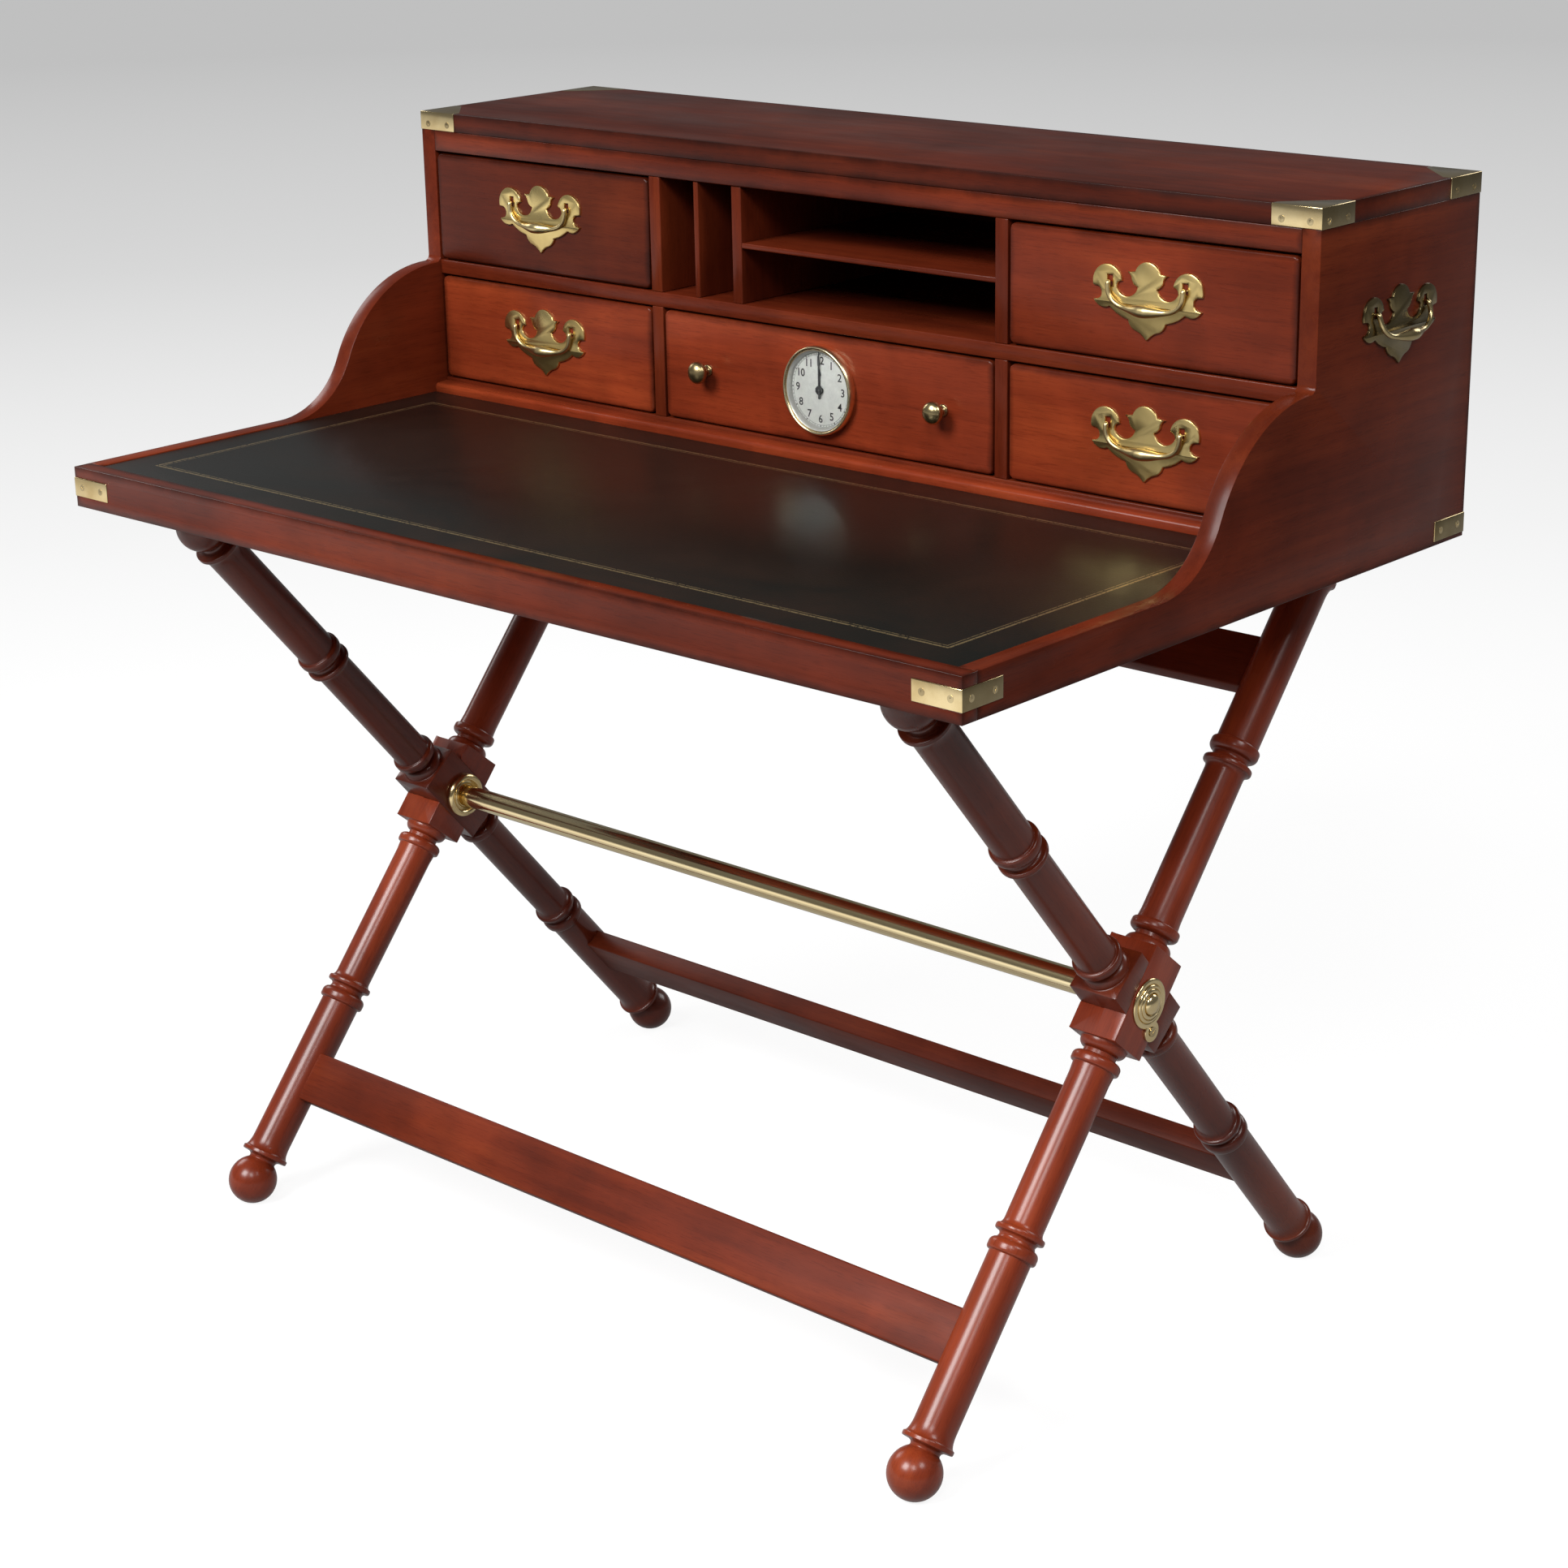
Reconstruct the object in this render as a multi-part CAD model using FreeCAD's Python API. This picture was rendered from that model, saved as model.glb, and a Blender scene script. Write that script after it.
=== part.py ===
import FreeCAD, Part
import math
import os

from FreeCAD import Rotation, Vector

# A campaign desk: a writing case with a gallery of drawers, carried by two X-shaped ends of turned legs.
# Millimetres. +Z is up and the front faces -Y. The origin is on the floor, under the middle of the desk.

# ---------------------------------------------------------------- case, driving sizes
CASE_WIDTH = 1066.0
CASE_DEPTH = 698.0
UNDERSIDE = 711.0
APRON_HEIGHT = 38.0
GALLERY_DEPTH = 244.0
LOWER_OPENING = 106.8
UPPER_OPENING = 109.2
FRIEZE_HEIGHT = 20.5
CENTRE_OPENING = 404.0
PANEL = 18.0
RAIL = 18.0
BOARD = 14.0
WRITING_BOARD = 17.5
BACK = 12.0
LEATHER = 1.5
LEATHER_SINK = 1.0
HOUSING = 6.0
HOUSING_STOP = 12.0
BEARER_WIDTH = 70.0

# cheek of a side panel: a hollow sweep that turns over into a round shoulder
HOLLOW_RADIUS = 85.0
SHOULDER_RADIUS = 135.0
SHOULDER_TOP = 168.0
SHOULDER_FILLET = 6.0

# ledge moulding at the foot of the gallery
LEDGE_DEPTH = 16.0
LEDGE_HEIGHT = 11.0
LEDGE_SLOPE = 0.8
LEDGE_NOSE = 4.0

# pigeonholes
SLOT_WIDTH = 42.5
THIN_PARTITION = 6.0
THICK_PARTITION = 12.0
LETTER_SHELF = 5.0
SETBACK = 1.5

# brass corner straps
STRAP_LEG = 48.0
STRAP_WIDTH = 18.0
STRAP_THICKNESS = 1.6
STRAP_PROUD = 0.6
STRAP_TIP = 8.0
REAR_STRAP_HEIGHT = 12.5

# ---------------------------------------------------------------- drawers, driving sizes
FRONT_THICKNESS = 18.0
FRONT_CORNER = 6.0
FRONT_EDGE = 3.0
SIDE_CLEARANCE = 2.0
FOOT_CLEARANCE = 1.5
HEAD_CLEARANCE = 2.4
BOX_CLEARANCE = 1.0
BACK_CLEARANCE = 1.0
LINING = 8.0
BOTTOM = 5.0
BOTTOM_LIFT = 4.0
BOX_DROP = 9.0

# ---------------------------------------------------------------- base, driving sizes
LEG_INSET = 102.0
FOOT_SPREAD = 570.0
BALL_RADIUS = 24.0
FOOT_SEAT = 21.5
TOP_SEAT = 16.5
BLOCK = 48.5
BLOCK_LENGTH = 91.0
OVOLO = 8.5
OVOLO_RADIUS = 21.5
NECK_RADIUS = 15.0
NECK_LENGTH = 3.5
COLLAR_RADIUS = 22.2
COLLAR_WIDTH = 11.5
COLLAR_EASE = 3.0
COLUMN_RADIUS = 17.2
COLUMN_SWELL = 18.7
BEAD_RADIUS = 22.5
BEAD_FOOT = 18.2
BEAD_WIDTH = 7.5
BEAD_GAP = 9.0
BEADS_FROM_CROSS = 232.0
FLARE_RADIUS = 23.4
FLARE_LENGTH = 7.0
FLARE_RUN = 8.0
FLARE_EASE = 3.0
BALL_NECK_RADIUS = 16.0
BALL_SUNK = 2.0
BALL_END_ANGLE = 12.0
STRETCHER_WIDTH = 50.0
STRETCHER_THICKNESS = 20.0
TENON_WIDTH = 30.0
TENON_THICKNESS = 10.0
TENON_SHORT = 4.0
LOWER_FRONT_AT = 325.0
LOWER_REAR_AT = 308.0
UPPER_REAR_AT = 320.0
DOWEL_RADIUS = 6.0
DOWEL_IN_LEG = 26.0
DOWEL_IN_BEARER = 14.0
TUBE_RADIUS = 11.0
FLANGE_RADIUS = 22.5
FLANGE_HEIGHT = 8.0
BOLT_RADIUS = 5.0
BOLT_IN_TUBE = 40.0
BOLT_HEAD_RADIUS = 10.0
BOLT_HEAD_HEIGHT = 7.0
COUNTERBORE_DEPTH = 9.0
COUNTERBORE_CLEARANCE = 1.0
COVER_RADIUS = 22.5
COVER_THICKNESS = 2.0
COVER_GAP = 0.3
COVER_TURN = 7.0
TAB_RADIUS = 9.5
TAB_DROP = 27.0
COVER_SCREW_RADIUS = 2.2
COVER_SCREW_HEAD = 4.5
COVER_SCREW_LENGTH = 18.0
RUNNING_FIT = 0.1
LEG_SIDES = 9
TURNING_SIDES = 12
CLOCK_SIDES = 24
BAIL_SIDES = 6
PIN_SIDES = 8
ARC_STEPS = 3
CHORD_TURN = 44.0
BALL_STEPS = 4

# ---------------------------------------------------------------- fittings, driving sizes
PLATE_THICKNESS = 2.5
EYE_SPACING = 77.0
EYE_HEIGHT = 13.6
EYE_RADIUS = 0.8
EYE_PAST_PIN = 0.5
PIN_RADIUS = 0.7
PIN_FIT = 0.05
PIN_LENGTH = 2.0
SLOT_ABOVE = 4.0
SLOT_BELOW = 3.4
BAIL_RADIUS = 2.2
BAIL_GRIP_RADIUS = 4.9
BAIL_GAP = 0.4
SLOT_FIT = 0.3
SIDE_BAIL_STAND = 5.0
SIDE_HANDLE_HEIGHT = 206.5
KNOB_SPACING = 288.0
KNOB_RADIUS = 10.6
KNOB_REACH = 22.5
KNOB_HEAD_HALF = 6.9
KNOB_COLLAR = 5.6
KNOB_COLLAR_HEIGHT = 2.0
KNOB_WAIST = 3.2
KNOB_FROM_ANGLE = 150.0
KNOB_END_ANGLE = 14.0
KNOB_STEPS = 4
CLOCK_RADIUS = 42.3
CLOCK_PROJECTION = 9.2
DIAL_RADIUS = 37.5
DIAL_SET = 1.5
DIAL_THICKNESS = 0.8
GLASS_THICKNESS = 1.6
MOVEMENT_RADIUS = 29.0
MOVEMENT_DEPTH = 34.0
MINUTE_HAND = 36.0
HOUR_HAND = 20.0
ARBOR_RADIUS = 1.2
CANNON_RADIUS = 2.0
SETTING_KNOB_RADIUS = 6.0

# ---------------------------------------------------------------- levels that follow
HALF_WIDTH = CASE_WIDTH / 2
FRONT = -CASE_DEPTH / 2
REAR = CASE_DEPTH / 2
INNER = HALF_WIDTH - PANEL
GALLERY_FRONT = REAR - GALLERY_DEPTH
BACK_FACE = REAR - BACK
APRON_TOP = UNDERSIDE + APRON_HEIGHT
BOARD_TOP = APRON_TOP - LEATHER_SINK - LEATHER
BOARD_UNDER = BOARD_TOP - WRITING_BOARD
FLOOR_TOP = BOARD_TOP + BOARD
SHELF_UNDER = FLOOR_TOP + LOWER_OPENING
SHELF_TOP = SHELF_UNDER + BOARD
FRIEZE_UNDER = SHELF_TOP + UPPER_OPENING
CARCASE_TOP = FRIEZE_UNDER + FRIEZE_HEIGHT
TOP = CARCASE_TOP + PANEL
DIVIDER_FACE = CENTRE_OPENING / 2
LEG_X = HALF_WIDTH - LEG_INSET
BALL_Y = FOOT_SPREAD / 2
CROSS_Z = (FOOT_SEAT + UNDERSIDE - TOP_SEAT) / 2
HALF_RISE = UNDERSIDE - TOP_SEAT - CROSS_Z
LEG_LEAN = math.degrees(math.atan2(BALL_Y, HALF_RISE))
LEG_HALF = math.hypot(BALL_Y, HALF_RISE)
OUTER_FACE = LEG_X + BLOCK / 2

X_AXIS = Vector(1, 0, 0)
Y_AXIS = Vector(0, 1, 0)
Z_AXIS = Vector(0, 0, 1)
BAIL_FACING = Vector(0, -1, 0.3)


# ---------------------------------------------------------------- shape helpers
def box(x, y, z):
    """A box between the pairs of limits x, y and z."""
    size = (x[1] - x[0], y[1] - y[0], z[1] - z[0])
    return Part.makeBox(*size, Vector(x[0], y[0], z[0]))


def rod(radius, start, end):
    """A round bar from the point start to the point end."""
    run = end - start
    return Part.makeCylinder(radius, run.Length, start, run)


def arc(start, through, end):
    return Part.Arc(start, through, end).toShape()


def line(start, end):
    return Part.makeLine(start, end)


def prism(edges, along):
    """The closed outline of edges, pushed through the vector along."""
    return Part.Face(Part.Wire(edges)).extrude(along)


def ring(centre, along, radius, sides, facing=None):
    """The corners of a regular polygon round centre, square to along; facing sets where it starts."""
    if facing is None:
        facing = Z_AXIS if abs(along.z) < 0.8 * along.Length else X_AXIS
    first = along.cross(facing).normalize() * radius
    second = along.cross(first).normalize() * radius
    turns = [2 * math.pi * (i + 0.5) / sides for i in range(sides)]
    return [centre + first * math.cos(a) + second * math.sin(a) for a in turns]


def skin(rings, flat):
    """A closed solid through rings of points; flat says that its four-cornered faces lie in planes."""
    faces = [Part.Face(Part.makePolygon(end + end[:1])) for end in (rings[0], rings[-1])]
    for low, high in zip(rings, rings[1:]):
        for a, b, c, d in zip(low, low[1:] + low[:1], high[1:] + high[:1], high):
            panes = [[a, b, c, d, a]] if flat else [[a, b, c, a], [a, c, d, a]]
            faces += [Part.Face(Part.makePolygon(pane)) for pane in panes]
    shell = Part.makeShell(faces)
    shell.sewShape()
    solid = Part.makeSolid(shell)
    return solid if solid.Volume > 0 else solid.reversed()


def turned(points, axis, at, sides=TURNING_SIDES):
    """A turned solid through (along, radius) points, with a flat for each of its sides."""
    return skin([ring(at + axis * along, axis, radius, sides) for along, radius in points], True)


def disc(radius, start, end, sides=TURNING_SIDES):
    """A turned bar of one radius from the point start to the point end."""
    run = end - start
    return turned([(0, radius), (run.Length, radius)], run.normalize(), start, sides)


def bent(start, through, end):
    """Points along an arc through three points, without its start, with a chord for every CHORD_TURN of it."""
    curve = Part.Arc(start, through, end)
    steps = max(1, round(math.degrees(curve.LastParameter - curve.FirstParameter) / CHORD_TURN))
    return curve.toShape().discretize(Number=steps + 1)[1:]


def ball_points(centre, radius, first, last, steps):
    """Points (along, radius) on a circle, from the angle first to last in degrees off the turning axis."""
    angles = [math.radians(first + (last - first) * i / steps) for i in range(steps + 1)]
    return [(centre + radius * math.cos(a), radius * math.sin(a)) for a in angles]


def lean(shape, degrees, at):
    """A copy of shape, leant about the X axis through the point at."""
    leant = shape.copy()
    leant.rotate(at, X_AXIS, degrees)
    return leant


def moved(shape, offset):
    shifted = shape.copy()
    shifted.translate(offset)
    return shifted


def save(name, *solids):
    shape = solids[0] if len(solids) == 1 else Part.makeCompound(list(solids))
    shape.exportStep("parts/" + name + ".step")


# ---------------------------------------------------------------- case
def shelf_tongues(under, top, front, rear):
    """The two ends of a shelf that are housed in the side panels, stopped behind its front edge."""
    depth = (front + HOUSING_STOP, rear)
    ends = ((-INNER - HOUSING, -INNER), (INNER, INNER + HOUSING))
    return [box(end, depth, (under, top)) for end in ends]


def housed_shelf(under, top, front, rear):
    body = box((-INNER, INNER), (front, rear), (under, top))
    return body.multiFuse(shelf_tongues(under, top, front, rear)).removeSplitter()


HOUSED = (
    (BOARD_UNDER, BOARD_TOP, FRONT + RAIL, BACK_FACE),
    (BOARD_TOP, FLOOR_TOP, GALLERY_FRONT, BACK_FACE),
    (SHELF_UNDER, SHELF_TOP, GALLERY_FRONT, BACK_FACE),
)


def cheek(x):
    """A side panel with its swept front edge, its inner or outer face at x."""
    turn = Vector(x, GALLERY_FRONT - SHOULDER_FILLET, UNDERSIDE + SHOULDER_TOP - SHOULDER_RADIUS)
    hollow_z = APRON_TOP + HOLLOW_RADIUS
    reach = HOLLOW_RADIUS + SHOULDER_RADIUS
    hollow = Vector(x, turn.y - math.sqrt(reach**2 - (hollow_z - turn.z) ** 2), hollow_z)
    across = (turn - hollow).normalize()
    meet = hollow + across * HOLLOW_RADIUS
    low = Vector(x, hollow.y, APRON_TOP)
    high = turn + Z_AXIS * SHOULDER_RADIUS
    fillet = Vector(x, high.y, high.z + SHOULDER_FILLET)
    upright = Vector(x, GALLERY_FRONT, fillet.z)
    corners = (
        Vector(x, GALLERY_FRONT, CARCASE_TOP),
        Vector(x, REAR, CARCASE_TOP),
        Vector(x, REAR, UNDERSIDE),
        Vector(x, FRONT + RAIL, UNDERSIDE),
        Vector(x, FRONT + RAIL, APRON_TOP),
    )
    hollow_mid = hollow + (low + meet - hollow * 2).normalize() * HOLLOW_RADIUS
    turn_mid = turn + (meet + high - turn * 2).normalize() * SHOULDER_RADIUS
    fillet_mid = fillet + Vector(0, 1, -1).normalize() * SHOULDER_FILLET
    edges = [arc(low, hollow_mid, meet), arc(meet, turn_mid, high), arc(high, fillet_mid, upright)]
    route = (upright,) + corners + (low,)
    edges += [line(start, end) for start, end in zip(route, route[1:])]
    return prism(edges, X_AXIS * PANEL)


def strap_seats():
    """Corner point, height of the middle and the two directions inwards, for each strap."""
    seats = []
    for side in (-1, 1):
        for y, inwards in ((GALLERY_FRONT, 1), (REAR, -1)):
            seats.append((Vector(side * HALF_WIDTH, y, CARCASE_TOP + PANEL / 2), -side, inwards))
        seats.append((Vector(side * HALF_WIDTH, FRONT, UNDERSIDE + APRON_HEIGHT / 2), -side, 1))
        seats.append((Vector(side * HALF_WIDTH, REAR, UNDERSIDE + REAR_STRAP_HEIGHT), -side, -1))
    return seats


def strap(corner, in_x, in_y):
    """An angle of flat bar round an upright corner, let into the wood and a little proud of it."""
    width = min(STRAP_WIDTH, PANEL)
    z = (corner.z - width / 2, corner.z + width / 2)

    def span(start, direction, length):
        return tuple(sorted((start - direction * STRAP_PROUD, start + direction * length)))

    sunk = STRAP_THICKNESS - STRAP_PROUD
    on_side = box(span(corner.x, in_x, sunk), span(corner.y, in_y, STRAP_LEG), z)
    on_face = box(span(corner.x, in_x, STRAP_LEG), span(corner.y, in_y, sunk), z)
    legs = on_side.fuse(on_face)
    if corner.z > CARCASE_TOP:
        legs = legs.fuse(strap_cap(corner, in_x, in_y))
    return legs.removeSplitter()


def strap_cap(corner, in_x, in_y):
    """The third leaf of a gallery strap, let in flush with the top board and cut off across its inner corner."""
    spots = ((0, 0), (STRAP_LEG, 0), (STRAP_LEG, STRAP_TIP), (STRAP_TIP, STRAP_LEG), (0, STRAP_LEG))
    low = TOP - STRAP_THICKNESS
    corners = [Vector(corner.x + in_x * x, corner.y + in_y * y, low) for x, y in spots]
    return Part.Face(Part.makePolygon(corners + corners[:1])).extrude(Z_AXIS * STRAP_THICKNESS)


def case_parts():
    straps = [strap(*seat) for seat in strap_seats()]
    tongues = [tongue for shelf in HOUSED for tongue in shelf_tongues(*shelf)]
    depth = (GALLERY_FRONT, BACK_FACE)
    back = box((-INNER, INNER), (BACK_FACE, REAR), (UNDERSIDE, CARCASE_TOP))
    save("side_panel_left", cheek(-HALF_WIDTH).cut(straps + tongues))
    save("side_panel_right", cheek(INNER).cut(straps + tongues))
    save("back_panel", back.cut(straps))
    top = box((-HALF_WIDTH, HALF_WIDTH), (GALLERY_FRONT, REAR), (CARCASE_TOP, TOP))
    save("top_board", top.cut(straps))
    rail = box((-HALF_WIDTH, HALF_WIDTH), (FRONT, FRONT + RAIL), (UNDERSIDE, APRON_TOP))
    save("front_rail", rail.cut(straps))
    save("corner_straps", *straps)
    save("writing_board", housed_shelf(*HOUSED[0]))
    save("gallery_floor", housed_shelf(*HOUSED[1]))
    save("middle_shelf", housed_shelf(*HOUSED[2]))
    frieze_z = (FRIEZE_UNDER, CARCASE_TOP)
    frieze = box((-INNER, INNER), (GALLERY_FRONT, GALLERY_FRONT + RAIL), frieze_z)
    save("frieze_rail", frieze)
    save_dividers(depth, frieze)
    save_pigeonholes(frieze)
    save_ledge()
    leather_y = (FRONT + RAIL, GALLERY_FRONT - LEDGE_DEPTH)
    leather = box((-INNER, INNER), leather_y, (BOARD_TOP, BOARD_TOP + LEATHER))
    save("leather_writing_surface", leather)


def save_dividers(depth, frieze):
    """Uprights between the drawers, the upper pair notched round the frieze rail."""
    uprights = []
    for z in ((FLOOR_TOP, SHELF_UNDER), (SHELF_TOP, CARCASE_TOP)):
        for x in ((-DIVIDER_FACE - BOARD, -DIVIDER_FACE), (DIVIDER_FACE, DIVIDER_FACE + BOARD)):
            uprights.append(box(x, depth, z).cut(frieze))
    save("gallery_dividers", *uprights)


def save_pigeonholes(frieze):
    depth = (GALLERY_FRONT + SETBACK, BACK_FACE)
    height = (SHELF_TOP, CARCASE_TOP)
    thin_x = -DIVIDER_FACE + SLOT_WIDTH
    thick_x = thin_x + THIN_PARTITION + SLOT_WIDTH
    thin = box((thin_x, thin_x + THIN_PARTITION), depth, height).cut(frieze)
    thick = box((thick_x, thick_x + THICK_PARTITION), depth, height).cut(frieze)
    save("pigeonhole_partitions", thin, thick)
    middle = (SHELF_TOP + FRIEZE_UNDER) / 2
    shelf_z = (middle - LETTER_SHELF / 2, middle + LETTER_SHELF / 2)
    save("letter_shelf", box((thick_x + THICK_PARTITION, DIVIDER_FACE), depth, shelf_z))


def save_ledge():
    """A moulding with a slightly sloped top and a round nose, planted in front of the gallery floor."""
    x = -INNER
    rear = Vector(x, GALLERY_FRONT, BOARD_TOP)
    rear_top = Vector(x, GALLERY_FRONT, BOARD_TOP + LEDGE_HEIGHT)
    front_y = GALLERY_FRONT - LEDGE_DEPTH
    nose_top = Vector(x, front_y + LEDGE_NOSE, rear_top.z - LEDGE_SLOPE)
    nose_end = Vector(x, front_y, nose_top.z - LEDGE_NOSE)
    diagonal = LEDGE_NOSE * math.sqrt(0.5)
    nose_mid = Vector(x, nose_top.y - diagonal, nose_end.z + diagonal)
    front = Vector(x, front_y, BOARD_TOP)
    edges = [line(rear, rear_top), line(rear_top, nose_top), arc(nose_top, nose_mid, nose_end)]
    edges += [line(nose_end, front), line(front, rear)]
    save("ledge_moulding", prism(edges, X_AXIS * 2 * INNER))


# ---------------------------------------------------------------- drawers
class Drawer:
    """One drawer: its opening in the gallery, and the limits of its front that follow."""

    def __init__(self, name, x, z):
        self.name = name
        self.x = (x[0] + SIDE_CLEARANCE, x[1] - SIDE_CLEARANCE)
        self.z = (z[0] + FOOT_CLEARANCE, z[1] - HEAD_CLEARANCE)
        self.box_x = (x[0] + BOX_CLEARANCE, x[1] - BOX_CLEARANCE)
        self.middle = Vector(sum(self.x) / 2, GALLERY_FRONT, sum(self.z) / 2)

    def front(self):
        """A drawer front, round at its corners and eased along its face."""
        rear = GALLERY_FRONT + FRONT_THICKNESS
        eased = GALLERY_FRONT + FRONT_EDGE * 0.7
        nosing = GALLERY_FRONT + FRONT_EDGE * 0.2
        sections = ((rear, 0), (eased, 0), (nosing, FRONT_EDGE * 0.4), (GALLERY_FRONT, FRONT_EDGE))
        return skin([self.outline(y, inset) for y, inset in sections], True)

    def outline(self, y, inset):
        """Corners of the front's outline at the depth y, drawn in by inset."""
        centres = []
        for x, z in ((1, 1), (0, 1), (0, 0), (1, 0)):
            in_x = self.x[x] + FRONT_CORNER * (1 - 2 * x)
            in_z = self.z[z] + FRONT_CORNER * (1 - 2 * z)
            centres.append(Vector(in_x, y, in_z))
        spots = []
        for quarter, centre in enumerate(centres):
            for i in range(ARC_STEPS + 1):
                turn = math.radians(90 * (quarter + i / ARC_STEPS))
                spots.append(centre + Vector(math.cos(turn), 0, math.sin(turn)) * (FRONT_CORNER - inset))
        return spots

    def lining(self):
        """Two sides, a back and a bottom, as four separate boards."""
        front = GALLERY_FRONT + FRONT_THICKNESS
        rear = BACK_FACE - BACK_CLEARANCE
        base, head = self.z[0], self.z[1] - BOX_DROP
        x0, x1 = self.box_x
        left = box((x0, x0 + LINING), (front, rear), (base, head))
        right = box((x1 - LINING, x1), (front, rear), (base, head))
        back = box((x0 + LINING, x1 - LINING), (rear - LINING, rear), (base + BOTTOM_LIFT, head))
        floor_z = (base + BOTTOM_LIFT, base + BOTTOM_LIFT + BOTTOM)
        floor = box((x0 + LINING, x1 - LINING), (front, rear - LINING), floor_z)
        return left, right, back, floor


def drawers():
    lower = (FLOOR_TOP, SHELF_UNDER)
    upper = (SHELF_TOP, FRIEZE_UNDER)
    left = (-INNER, -DIVIDER_FACE - BOARD)
    right = (DIVIDER_FACE + BOARD, INNER)
    centre = (-DIVIDER_FACE, DIVIDER_FACE)
    return (
        Drawer("upper_left", left, upper),
        Drawer("upper_right", right, upper),
        Drawer("lower_left", left, lower),
        Drawer("lower_centre", centre, lower),
        Drawer("lower_right", right, lower),
    )


def drawer_parts():
    for drawer in drawers():
        front = drawer.front()
        if drawer.name == "lower_centre":
            rear = drawer.middle + Y_AXIS * FRONT_THICKNESS
            front = front.cut(disc(MOVEMENT_RADIUS, drawer.middle, rear, CLOCK_SIDES))
            save_knobs(drawer.middle)
            save_clock(drawer.middle)
        else:
            save("plate_" + drawer.name, moved(plate(), drawer.middle))
            save("bail_" + drawer.name, moved(bail(0), drawer.middle))
        save("front_" + drawer.name, front)
        save("box_" + drawer.name, *drawer.lining())


# ---------------------------------------------------------------- handles
HALF_OUTLINE = (
    ((9.6, 29.6), (12.9, 24.6)),
    (None, (21.0, 23.4)),
    ((18.3, 21.6), (16.6, 19.0)),
    ((14.9, 14.4), (10.0, 11.2)),
    ((20.6, 2.8), (31.2, 9.0)),
    ((30.2, 12.9), (26.0, 14.8)),
    ((41.3, 28.2), (56.2, 9.0)),
    (None, (52.0, 8.4)),
    ((47.3, 3.2), (52.4, -2.1)),
    (None, (55.8, -2.8)),
    ((48.4, -8.8), (38.8, -8.0)),
    ((30.4, -13.6), (19.6, -17.1)),
    ((17.0, -22.2), (12.5, -25.4)),
    ((6.4, -27.8), (2.6, -31.0)),
    (None, (0.0, -33.2)),
)
OUTLINE_TOP = (0.0, 0.0, 33.6)


def plate():
    """A pierced back plate with lobes and wings, on the face of a drawer whose middle is the origin."""
    outline = [Vector(*OUTLINE_TOP)]
    for through, end in HALF_OUTLINE:
        stop = Vector(end[0], 0, end[1])
        if through is None:
            outline.append(stop)
        else:
            outline += bent(outline[-1], Vector(through[0], 0, through[1]), stop)
    mirrored = [Vector(-spot.x, 0, spot.z) for spot in reversed(outline[1:-1])]
    corners = outline + mirrored + outline[:1]
    blank = Part.Face(Part.makePolygon(corners)).extrude(Y_AXIS * -PLATE_THICKNESS)
    eye = EYE_SPACING / 2
    half_slot = BAIL_RADIUS + SLOT_FIT
    holes = []
    for side in (-1, 1):
        x = (side * eye - half_slot, side * eye + half_slot)
        holes.append(box(x, (-PLATE_THICKNESS, 0), (EYE_HEIGHT - SLOT_BELOW, EYE_HEIGHT + SLOT_ABOVE)))
        middle = Vector(side * eye, -PLATE_THICKNESS / 2, EYE_HEIGHT)
        bottom = middle + X_AXIS * side * (half_slot + PIN_LENGTH + PIN_FIT)
        holes.append(rod(PIN_RADIUS + PIN_FIT, middle, bottom))
    return blank.cut(holes)


def bail_route(stand):
    """Centre and radius of each section of a bail, from its left eye to its right eye."""
    eye = EYE_SPACING / 2
    arm = PLATE_THICKNESS + BAIL_GAP + BAIL_RADIUS
    axle = PLATE_THICKNESS / 2
    grip = PLATE_THICKNESS + BAIL_GAP + BAIL_GRIP_RADIUS
    half = (
        (eye, axle - EYE_PAST_PIN, EYE_HEIGHT + EYE_PAST_PIN, EYE_RADIUS),
        (eye, arm - 0.4, EYE_HEIGHT - 3.0, 0.9 * BAIL_RADIUS),
        (eye, arm, EYE_HEIGHT - 6.0, BAIL_RADIUS),
        (eye - 1.2, arm, 3.0, BAIL_RADIUS),
        (eye - 4.3, arm, -1.2, BAIL_RADIUS),
        (28.0, arm, -5.2, BAIL_RADIUS),
        (15.0, arm + 0.3, -7.1, 1.15 * BAIL_RADIUS),
        (5.5, grip - 0.5, -7.3, 0.9 * BAIL_GRIP_RADIUS),
        (0.0, grip, -7.3, BAIL_GRIP_RADIUS),
    )
    out = [(x, n + stand * (EYE_HEIGHT - z) / EYE_HEIGHT, z, r) for x, n, z, r in half]
    return [(-x, n, z, r) for x, n, z, r in out] + out[-2::-1]


def bail(stand):
    """A drop handle with a pin at each eye; stand is how far its grip is set off from the plate."""
    route = bail_route(stand)
    centres = [Vector(x, -n, z) for x, n, z, r in route]
    sections = []
    for i, centre in enumerate(centres):
        run = centres[min(i + 1, len(centres) - 1)] - centres[max(i - 1, 0)]
        sections.append(ring(centre, run, route[i][3], BAIL_SIDES, BAIL_FACING))
    pins = []
    for side in (-1, 1):
        middle = Vector(side * EYE_SPACING / 2, -PLATE_THICKNESS / 2, EYE_HEIGHT)
        reach = BAIL_RADIUS + SLOT_FIT + PIN_LENGTH
        pins.append(disc(PIN_RADIUS, middle, middle + X_AXIS * side * reach, PIN_SIDES))
    return skin(sections, False).multiFuse(pins)


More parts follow.
